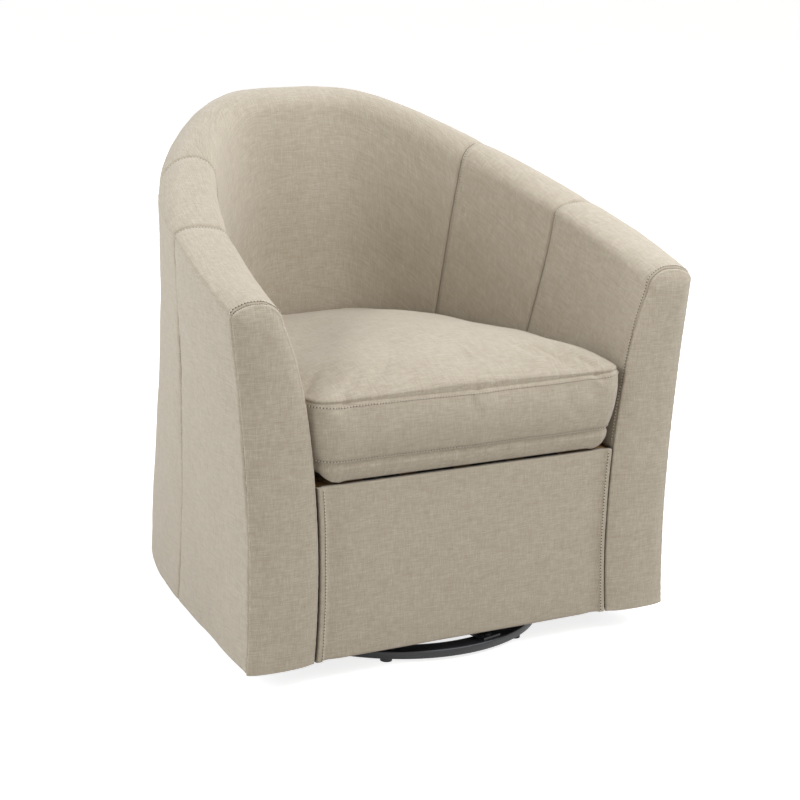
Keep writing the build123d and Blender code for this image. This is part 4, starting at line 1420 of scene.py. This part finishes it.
@dataclass
class SeatCushion:
    """The boxed seat cushion: crowned top, band between two seams, rounded underside."""

    tub: TubUpholstery
    front_y: float = -346.0
    corner: float = 34.0
    room: float = 1.7
    bottom_z: float = 300.8
    lower_seam: float = 322.0
    upper_seam: float = 411.0
    top_z: float = 461.0
    seam_inset: float = 3.0
    under_inset: float = 32.0
    front_power: float = 0.34
    side_power: float = 1.1
    back_power: float = 1.4
    droop: float = 17.0
    droop_start: float = 26.0
    droop_width: float = 12.0
    centre_y: float = -140.0
    around: int = 420
    rough_around: int = 180
    rough_steps: tuple[int, int, int] = (17, 10, 29)
    band_side: float = 2.4
    band_full: float = 3.4
    cap_front: float = 5.0
    cap_top: float = 3.5
    cap_side: float = 0.7
    cap_inwards: float = 4.0
    pressure: float = 4.0
    frames: int = 20
    stitch_away: float = 5.0
    stitch_pull: float = 0.7
    stitch_width: float = 1.6

    def outline(self, z: float, inset: float, count: int) -> Grid:
        """Closed outline at one height: the tub's inside, with round front corners.

        Args:
            z: height.
            inset: how far it is drawn in.
            count: number of points; the last is the first again.

        Returns:
            Plan points, evenly spaced, from the middle of the back past the left side.
        """
        wall = self.tub.wall
        turn = wall.half_turns(0.02, 0.6, 60)
        inside = wall.section(turn, wall.inside_stretch(turn, z))[0] + self.room + inset
        side = wall.place(turn, inside, np.full_like(turn, z))[:, :2]
        front, r = self.front_y + inset, self.corner
        kept = side[side[:, 1] > front + r]
        x = float(np.interp(front + r, side[:, 1], side[:, 0]))
        bend = np.linspace(0, math.pi / 2, 14)
        corner = np.stack([x - r + r * np.cos(bend), front + r - r * np.sin(bend)], axis=1)
        line = np.linspace(x - r, 0, 20)[1:]
        straight = np.stack([line, np.full_like(line, front)], axis=1)
        half = np.concatenate([kept[::-1], corner, straight])
        loop = np.concatenate([half, half[:-1][::-1] * np.array([-1.0, 1.0])])[::-1]
        run = steps_between(loop, 0)
        return read_at(loop, run, np.linspace(0, run[-1], count))

    def outwards(self, plan: Grid) -> Grid:
        """Unit directions from the middle of the seat to plan points."""
        return unit(plan - np.array([0.0, self.centre_y]))

    def reach(self, loop: Grid) -> Grid:
        """Measure from the centre to the tangent of a closed loop at each of its points.

        Args:
            loop: plan points, the last the first again.

        Returns:
            One distance for each point.
        """
        ahead = np.roll(loop[:-1], -1, axis=0) - np.roll(loop[:-1], 1, axis=0)
        ahead = unit(np.concatenate([ahead, ahead[:1]]))
        out = loop - np.array([0.0, self.centre_y])
        return np.abs(out[:, 0] * ahead[:, 1] - out[:, 1] * ahead[:, 0])

    def dome(self, top: bool, shares: Grid, count: int) -> Grid:
        """Top or underside: loops that shrink to the centre.

        The height is the seam's plus the crown times sin(90 degrees of the way in)^p. The power
        p is low at the front, where the crown rises steeply, and high at the back. Below, it
        falls as a quarter ellipse, lower at the front, where it hangs over the rail.

        Args:
            top: the top, or else the underside.
            shares: 0 at the seam to 1 at the centre, for each row.
            count: number of points round it.

        Returns:
            Grid from the seam to the centre.
        """
        seam = self.upper_seam if top else self.lower_seam
        loop = self.outline(seam, self.seam_inset, count)
        centre = np.array([0.0, self.centre_y])
        plan = centre + (loop - centre)[None] * (1 - shares)[:, None, None]
        if top:
            back = self.outwards(loop)[:, 1]
            power = (self.side_power + (self.back_power - self.side_power) * np.clip(back, 0, 1)
                     + (self.front_power - self.side_power) * np.clip(-back, 0, 1) ** 0.7)
            form = np.sin(math.pi / 2 * shares)[:, None] ** power[None, :]
            return raised(plan, seam + (self.top_z - seam) * form)
        away = shares[:, None] * self.reach(loop)[None, :]
        left = np.clip(1 - away / self.under_inset, 0, 1)
        front = self.front_y + self.droop_start - plan[..., 1]
        deep = seam - self.bottom_z + self.droop * np.clip(front / self.droop_width, 0, 1)
        return raised(plan, seam - deep * np.sqrt(1 - left**2))

    def band(self, shares: Grid, count: int) -> Grid:
        """Band between the two seams, slightly full halfway up.

        Args:
            shares: 0 at the lower seam to 1 at the upper, for each row.
            count: number of points round it.

        Returns:
            Grid from the lower seam to the upper.
        """
        low, high = (self.outline(z, self.seam_inset, count)
                     for z in (self.lower_seam, self.upper_seam))
        plan = low[None] + (high - low)[None] * shares[:, None, None]
        out = self.outwards(plan)
        ahead = np.clip(-out[..., 1] * 1.6 - 0.4, 0, 1)
        full = 4 * (shares * (1 - shares))[:, None]
        plan = plan + out * (full * (self.band_side + self.band_full * ahead))[..., None]
        return raised(plan, self.lower_seam + (self.upper_seam - self.lower_seam) * shares)

    def whole(self, rows: tuple[Grid, Grid, Grid], count: int) -> tuple[Grid, list[int]]:
        """Grid from the centre of the underside over the band to the centre of the top.

        Args:
            rows: shares of underside, band and top, each from a seam on.
            count: number of points round it.

        Returns:
            The grid, and the rows of the lower and upper seam.
        """
        under, middle, top = rows
        parts = [self.dome(False, under, count)[::-1], self.band(middle, count)[1:],
                 self.dome(True, top, count)[1:]]
        seams = [len(under) - 1, len(under) + len(middle) - 2]
        return np.concatenate(parts, axis=0), seams

    def simulate(self, coarse: Grid, seams: list[int]) -> Grid:
        """Cloth simulation: blow the cover up a little and read how far each point moves.

        The underside is pinned, because it rests on the deck, and the seams are half held.

        Args:
            coarse: an even grid of the cushion, its last column the first again.
            seams: rows of the lower and upper seam.

        Returns:
            Moves in millimetres on the same grid.
        """
        rows, cols = coarse.shape[0], coarse.shape[1] - 1
        inner = coarse[1:-1, :-1].reshape(-1, 3)
        points = np.concatenate([inner, coarse[:1, 0], coarse[-1:, 0]]) * MM
        index = np.arange((rows - 2) * cols).reshape(rows - 2, cols)
        wrap = np.concatenate([index, index[:, :1]], axis=1)
        quads = np.stack([wrap[:-1, :-1], wrap[:-1, 1:], wrap[1:, 1:], wrap[1:, :-1]], axis=2)
        low, high = len(inner), len(inner) + 1
        fan_low = np.stack([wrap[0, 1:], wrap[0, :-1], np.full(cols, low)], axis=1)
        fan_high = np.stack([wrap[-1, :-1], wrap[-1, 1:], np.full(cols, high)], axis=1)
        mesh = bpy.data.meshes.new("cushion_trial")
        mesh.from_pydata(points, [], quads.reshape(-1, 4).tolist() + fan_low.tolist()
                         + fan_high.tolist())
        trial = bpy.data.objects.new("cushion_trial", mesh)
        bpy.context.scene.collection.objects.link(trial)
        held = trial.vertex_groups.new(name="held")
        held.add([*index[: seams[0] - 1].ravel().tolist(), low], 1.0, "REPLACE")
        held.add(index[[seams[0] - 1, seams[1] - 1]].ravel().tolist(), 0.35, "REPLACE")
        cloth = trial.modifiers.new("cloth", "CLOTH").settings
        cloth.effector_weights.gravity = 0.0
        for name, value in {"use_pressure": True, "uniform_pressure_force": self.pressure,
                            "vertex_group_mass": "held", "quality": 5,
                            "tension_stiffness": 15.0, "compression_stiffness": 15.0,
                            "bending_stiffness": 0.6}.items():
            setattr(cloth, name, value)
        scene = bpy.context.scene
        for number in range(1, self.frames + 1):
            scene.frame_set(number)
        shown = trial.evaluated_get(bpy.context.evaluated_depsgraph_get())
        moved = np.zeros(len(points) * 3)
        shown.data.vertices.foreach_get("co", moved)
        scene.frame_set(1)
        bpy.data.objects.remove(trial)
        move = (moved.reshape(-1, 3) - points) / MM
        grid = np.zeros((rows, cols + 1, 3))
        grid[1:-1, :-1] = move[: len(inner)].reshape(rows - 2, cols, 3)
        grid[0], grid[-1] = move[low], move[high]
        grid[:, -1] = grid[:, 0]
        return grid

    def capped(self, coarse: Grid, move: Grid) -> Grid:
        """Limit the moves: most at the front, hardly any where arms and back hold the sides.

        Args:
            coarse: the grid that moved.
            move: its moves.

        Returns:
            The moves, each flattened out towards its cap.
        """
        out = self.outwards(coarse[..., :2])
        ahead = np.clip(-out[..., 1] * 2.2 - 0.7, 0, 1)
        cap = self.cap_side + (self.cap_front - self.cap_side) * ahead
        outward = (move[..., :2] * out).sum(axis=2)
        limited = cap * np.tanh(np.clip(outward, 0, None) / cap) \
            + np.clip(outward, -self.cap_inwards, 0)
        level = move[..., :2] + out * (limited - outward)[..., None]
        return raised(level, self.cap_top * np.tanh(move[..., 2] / self.cap_top))

    def inflated(self, fine: Grid, rows: tuple[Grid, Grid, Grid]) -> Grid:
        """Move the fine grid as the simulated coarse one moved.

        Args:
            fine: the fine grid.
            rows: its shares of underside, band and top.

        Returns:
            The moved grid.
        """
        low, band, high = self.rough_steps
        rough = tuple(np.linspace(0, 1, count + 1) for count in self.rough_steps)
        coarse, seams = self.whole(rough, self.rough_around + 1)
        move = self.capped(coarse, self.simulate(coarse, seams))
        under, middle, top = rows
        place = np.concatenate([low * (1 - under[::-1]), low + band * middle[1:],
                                low + band + high * top[1:]])
        around = np.linspace(0, self.rough_around, fine.shape[1])
        i = np.minimum(place.astype(int), low + band + high - 1)
        j = np.minimum(around.astype(int), self.rough_around - 1)
        a, b = (place - i)[:, None, None], (around - j)[None, :, None]
        near, far = ((1 - b) * m[:, j] + b * m[:, j + 1] for m in (move[i], move[i + 1]))
        LOG.info("cushion cloth moved its top %.1f mm", float(move[..., 2].max()))
        return fine + (1 - a) * near + a * far

    def build(self, materials: Materials) -> list[Line]:
        """Build the cushion, simulate it, sew its seams and find its stitch lines.

        Args:
            materials: the finishes.

        Returns:
            Path and normals of the rows of stitches.
        """
        rows = (graded(250.0, 14.0, True, False),
                graded(self.upper_seam - self.lower_seam, 5.0), graded(250.0, 7.5, True, False))
        fine, (low, high) = self.whole(rows, self.around + 1)
        fine = self.inflated(fine, rows)
        normal = normals_of(fine)
        normal[:, 0] = normal[:, -1] = (normal[:, 0] + normal[:, -1]) / 2
        normal[0], normal[-1] = (0, 0, -1), (0, 0, 1)
        down, along = steps_between(fine, 0), steps_between(fine, 1)
        offset = np.zeros(fine.shape[:2])
        for row, inner in ((low, 1), (high, -1)):
            away = np.abs(down - down[row])
            offset += self.tub.sewing.offset(away, np.broadcast_to(along[row], away.shape),
                                             Rim.SEAM)
            beside = ((down - down[row]) * inner - self.stitch_away) / self.stitch_width
            offset -= self.stitch_pull * np.exp(-(beside**2))
        loose = np.clip((down - down[high]) / 60, 0, 1) * 0.9 + 0.35
        pole = np.clip((down[-1:] - down) / 40, 0, 1)
        offset += loose * soft_waves(fine, 150.0, 61) * pole * (down > down[low])
        points = fine + offset[..., None] * normal
        points[:, -1] = points[:, 0]
        flat = points[..., :2] * MM
        run = np.stack([np.broadcast_to(along[low] * MM, points.shape[:2]),
                        points[..., 2] * MM + 0.5], axis=2)
        cut = [slice(0, low + 1), slice(low, high + 1), slice(high, None)]
        laid = [flat * np.array([-1.0, 1.0]), run, flat]
        patches = [Patch(points[c], uv[c]) for c, uv in zip(cut, laid)]
        piece = make_piece("seat_cushion_fabric", patches, materials.get(Slot.UPHOLSTERY),
                           Body.CHAIR)
        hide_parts("seat_cushion_cover", "seat_cushion_foam")
        lines = [offset_line(points.transpose(1, 0, 2), target)
                 for target in (down[low] + self.stitch_away, down[high] - self.stitch_away)]
        return [(path, -facing) for path, facing in lines]


# ---------------------------------------------------------------- under the seat
@dataclass
class SeatDeck:
    """What carries the cushion: felt pad, bands of webbing and the cloth below."""

    cushion: SeatCushion
    pad_low: float = 287.6
    pad_high: float = 300.2
    pad_inset: float = 31.0
    cross_bands: int = 5
    long_bands: int = 4
    band_width: float = 60.0
    band_thick: float = 1.4
    swivel_y: float = -114.0
    hole_radius: float = 176.0
    cloth_z: float = 34.4
    cloth_inset: float = 13.0
    cloth_thick: float = 0.9
    cloth_room: float = 14.0
    cloth_wave: float = 0.4
    cloth_waves: int = 11

    def build_pad(self, materials: Materials) -> None:
        """Build the felt pad on the webbing: a closed slab with round edges.

        Args:
            materials: the finishes.
        """
        inner = np.array([0.0, 0.3, 0.6, 0.9])[:, None, None]
        edge = [(self.pad_low, 3.0), (self.pad_low + 2, 0.5), (self.pad_low + 6, 0.0),
                (self.pad_high - 2, 0.5), (self.pad_high, 3.0)]
        loops = np.stack([self.cushion.outline(z, self.pad_inset + more, 121)
                          for z, more in edge])
        heights = np.array([z for z, _ in edge])
        centre = np.array([0.0, self.cushion.centre_y])
        plan = np.concatenate([centre + (loops[0] - centre) * inner, loops,
                               centre + (loops[-1] - centre) * inner[::-1]])
        points = raised(plan, np.pad(heights, len(inner), mode="edge"))
        piece = make_piece("deck_pad_felt", [Patch(points, points[..., :2] * MM)],
                           materials.get(Slot.FELT), Body.CHAIR)
        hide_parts("deck_pad")

    def build_bands(self, materials: Materials) -> None:
        """Build the two sets of webbing: each band a flat strap with slightly curled edges.

        Args:
            materials: the finishes.
        """
        around = np.linspace(0, 2 * math.pi, 25)[None, :]
        side = self.band_width / 2 * np.sign(np.cos(around)) * np.abs(np.cos(around)) ** 0.4
        for node, across, count in (("cross_webbing", 1, self.cross_bands),
                                    ("long_webbing", 0, self.long_bands)):
            low, high = (np.array(corner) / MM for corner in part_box(node))
            along = 1 - across
            pitch = (high[across] - low[across] - self.band_width) / (count - 1)
            run = np.linspace(-0.5, 0.5, 40)[:, None] * (high - low)[along] + 0 * side
            points = np.stack([run, run, run], axis=2)
            points[..., along] += (low + high)[along] / 2
            points[..., 2] = (low + high)[2] / 2 + self.band_thick / 2 * np.sin(around)
            patches = []
            for number in range(count):
                points[..., across] = side + low[across] + self.band_width / 2 + number * pitch
                laid = np.stack([side + 0 * run, run], axis=2) * MM
                patches.append(Patch(points[:: -1 if across else 1].copy(), laid))
            piece = make_piece(node + "_straps", patches, materials.get(Slot.WEBBING),
                               Body.CHAIR)
            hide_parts(node)

    def build_cloth(self, materials: Materials) -> None:
        """Build the dust cloth: a sheet from the tub's foot to the hole round the swivel.

        Args:
            materials: the finishes.
        """
        wall = self.cushion.tub.wall
        turns, runs = wall.runs()
        turn = np.interp(np.linspace(self.cloth_room, runs[-1] - self.cloth_room, 200), runs, turns)
        flat = np.zeros_like(turn)
        plan = wall.place(turn, flat + self.cloth_inset, flat + wall.foot_z + 2)[:, :2]
        loop = np.concatenate([plan, np.linspace(plan[-1], plan[0], 60)[1:]])
        centre = np.array([0.0, self.swivel_y])
        out = unit(loop - centre)
        hole = centre + out * self.hole_radius
        shares = np.linspace(0, 1, 26)[:, None]
        turned = np.arctan2(out[:, 1], out[:, 0])[None, :]
        wave = self.cloth_wave * np.sin(math.pi * shares) * np.sin(turned * self.cloth_waves)
        points = raised(hole[None] + (loop - hole)[None] * shares[..., None], self.cloth_z + wave)
        points = points[:, ::-1]
        piece = make_piece("dust_cloth", [Patch(points, points[..., :2] * MM)],
                           materials.get(Slot.DUST_CLOTH), Body.CHAIR,
                           self.cloth_thick)
        x, y = loop[:, 0], loop[:, 1]
        area = abs(np.sum(x * np.roll(y, -1) - np.roll(x, -1) * y)) / 2
        area -= math.pi * self.hole_radius**2
        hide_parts("dust_cover")

    def build(self, materials: Materials) -> None:
        """Build pad, bands and cloth."""
        for build in (self.build_pad, self.build_bands, self.build_cloth):
            build(materials)


@dataclass
class SwivelBase:
    """The steel ring on the floor, rolled from sheet and open below."""

    centre_y: float = -114.0
    outer: float = 237.0
    width: float = 30.0
    foot: float = 6.0
    top: float = 18.0
    wall: float = 2.5
    bend: float = 2.6
    edge: float = 0.4
    around: int = 192

    def profile(self) -> Grid:
        """Closed profile of the ring: two walls and a top with rounded bends.

        Returns:
            Radius and height of each point, the last the first again.
        """
        bend = np.linspace(0, math.pi / 2, 6)
        inner, r, e = self.outer - self.width, self.bend, self.edge
        parts = [
            [(self.outer, self.foot + e), (self.outer, self.top - r)],
            [(self.outer - r + r * math.cos(a), self.top - r + r * math.sin(a)) for a in bend],
            [(inner + r - r * math.sin(a), self.top - r + r * math.cos(a)) for a in bend],
            [(inner, self.top - r), (inner, self.foot + e), (inner + e, self.foot),
             (inner + self.wall, self.foot), (inner + self.wall, self.top - self.wall),
             (self.outer - self.wall, self.top - self.wall), (self.outer - self.wall, self.foot),
             (self.outer - e, self.foot), (self.outer, self.foot + e)],
        ]
        return np.array([p for part in parts for p in part])

    def build(self, materials: Materials) -> None:
        """Turn the profile round the swivel's axis.

        Args:
            materials: the finishes.
        """
        profile = self.profile()
        angle = np.linspace(0, 2 * math.pi, self.around + 1)
        radius, height = profile[:, :1], profile[:, 1:] + 0 * angle
        points = np.stack([radius * np.cos(angle), self.centre_y + radius * np.sin(angle),
                           height], axis=2)
        cloth = np.stack([radius * angle, height], axis=2) * MM
        piece = make_piece("base_ring_rolled", [Patch(points, cloth)],
                           materials.get(Slot.BLACK_STEEL), Body.BASE)
        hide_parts("base_ring")


# ---------------------------------------------------------------- carried-over solids
def finish_nodes(materials: Materials) -> None:
    """Give each CAD node the finish of its record slot.

    Args:
        materials: the finishes.
    """
    known = {slot.value: slot for slot in Slot}
    for name, node in frame["nodes"].items():
        for place in node.material_slots:
            key = (place.material.name if place.material else "").split(".")[0]
            if key in known:
                place.material = materials.get(known[key])
            else:
                LOG.warning("node %s has an unknown slot %s", name, key)


# ---------------------------------------------------------------- studio
@dataclass(frozen=True)
class Softbox:
    """A square soft lamp: its place and side in metres, its power in watts, its colour."""

    name: str
    spot: tuple[float, float, float]
    size: float
    power: float
    tint: tuple[float, float, float] = (0.96, 1.0, 1.06)

    def hang(self) -> None:
        """Hang the lamp so that it faces the chair."""
        data = bpy.data.lights.new(self.name, "AREA")
        data.color, data.size, data.energy = self.tint, self.size, self.power
        lamp = bpy.data.objects.new(self.name, data)
        bpy.context.scene.collection.objects.link(lamp)
        lamp.location = self.spot
        away = Vector(self.spot) - Vector((0.0, 0.0, 0.45))
        lamp.rotation_euler = away.to_track_quat("Z", "Y").to_euler()


@dataclass
class Studio:
    """Camera, pale floor, soft lamps and a white surround."""

    azimuth: float = -31.33
    elevation: float = 15.18
    roll: float = 2.5
    distance: float = 3460.26
    shift: tuple[float, float] = (-76.02, 77.07)
    aim: tuple[float, float, float] = (0.0, 0.0, 380.0)
    step_y: float = 21.0
    lens: float = 99.0
    floor_half: float = 12.0
    world: float = 0.3
    lamps: tuple[Softbox, ...] = (
        Softbox("key_softbox", (1.1, -1.0, 2.7), 2.4, 83.0),
        Softbox("fill_softbox", (-3.0, -0.6, 1.5), 2.0, 42.0),
        Softbox("rear_softbox", (-2.2, 1.8, 1.8), 2.0, 58.0),
        Softbox("side_softbox", (2.6, 0.4, 1.8), 2.0, 55.0),
        Softbox("front_softbox", (0.0, -3.0, 1.5), 2.0, 15.0, (1.04, 1.0, 0.94)),
    )

    def build_camera(self) -> None:
        """Set the camera where the photograph was taken from."""
        a, e, r = (math.radians(v) for v in (self.azimuth, self.elevation, self.roll))
        back = Vector((math.sin(a) * math.cos(e), -math.cos(a) * math.cos(e), math.sin(e)))
        right = Vector((math.cos(a), math.sin(a), 0.0))
        up = back.cross(right)
        level = right * math.cos(r) + up * math.sin(r)
        tall = up * math.cos(r) - right * math.sin(r)
        spot = Vector(self.aim) + back * self.distance - level * self.shift[0] \
            - tall * self.shift[1]
        spot.y += self.step_y
        data = bpy.data.cameras.new("photo_camera")
        data.lens = self.lens
        data.clip_start, data.clip_end = 0.1, 50.0
        camera = bpy.data.objects.new("photo_camera", data)
        bpy.context.scene.collection.objects.link(camera)
        camera.matrix_world = Matrix.Translation(spot * MM) @ Matrix(
            (level, tall, back)).transposed().to_4x4()
        bpy.context.scene.camera = camera

    def build_floor(self, materials: Materials) -> None:
        """Lay a floor that shows white to the camera.

        Args:
            materials: the finishes.
        """
        h = self.floor_half
        mesh = bpy.data.meshes.new("floor")
        mesh.from_pydata([(-h, -h, 0), (h, -h, 0), (h, h, 0), (-h, h, 0)], [], [(0, 1, 2, 3)])
        floor = bpy.data.objects.new("floor", mesh)
        bpy.context.scene.collection.objects.link(floor)
        mesh.materials.append(materials.get(FLOOR))

    def build_world(self) -> None:
        """Light evenly from all round, and show white behind the chair."""
        world = bpy.data.worlds.new("white_surround")
        bpy.context.scene.world = world
        world.use_nodes = True
        tree = world.node_tree
        tree.nodes.clear()
        seen = ray_is(tree, "Is Camera Ray", "Is Glossy Ray", "Is Transmission Ray")
        strength = add_node(tree, "ShaderNodeMapRange", {0: seen, 3: self.world, 4: 1.0})
        glow = add_node(tree, "ShaderNodeBackground",
                        {"Color": (1, 1, 1, 1), "Strength": strength.outputs[0]})
        add_node(tree, "ShaderNodeOutputWorld", {"Surface": glow.outputs[0]})

    def build(self, materials: Materials) -> None:
        """Set up camera, floor, surround and lamps.

        Args:
            materials: the finishes.
        """
        bpy.context.scene.view_settings.view_transform = "Standard"
        self.build_camera()
        self.build_floor(materials)
        self.build_world()
        for lamp in self.lamps:
            lamp.hang()


def main() -> None:
    """Build the chair's looks and the studio."""
    logging.basicConfig(level=logging.INFO, format="%(name)s %(message)s")
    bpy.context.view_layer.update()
    materials = Materials()
    Studio().build(materials)
    tub = TubUpholstery()
    tub.build_outer(materials)
    LOG.info("outer covers done")
    tub.build_inner(materials)
    LOG.info("crest and inside panels done")
    tub.build_arm_fronts(materials)
    tub.build_seams(materials)
    LOG.info("arm fronts and wall seams done")
    panel_lines = FrontPanel(tub).build(materials)
    LOG.info("front panel done")
    cushion = SeatCushion(tub)
    cushion_lines = cushion.build(materials)
    LOG.info("seat cushion done")
    SeatDeck(cushion).build(materials)
    LOG.info("deck done")
    SwivelBase().build(materials)
    finish_nodes(materials)
    LOG.info("base and carried-over solids done")
    rows = {"arm_front_topstitch": tub.front_lines, "front_panel_topstitch": panel_lines,
            "seat_cushion_topstitch": cushion_lines}
    for name, lines in rows.items():
        StitchRow().sew(name, lines, materials)
        LOG.info("%s sewn", name)


if __name__ == "__main__":
    main()
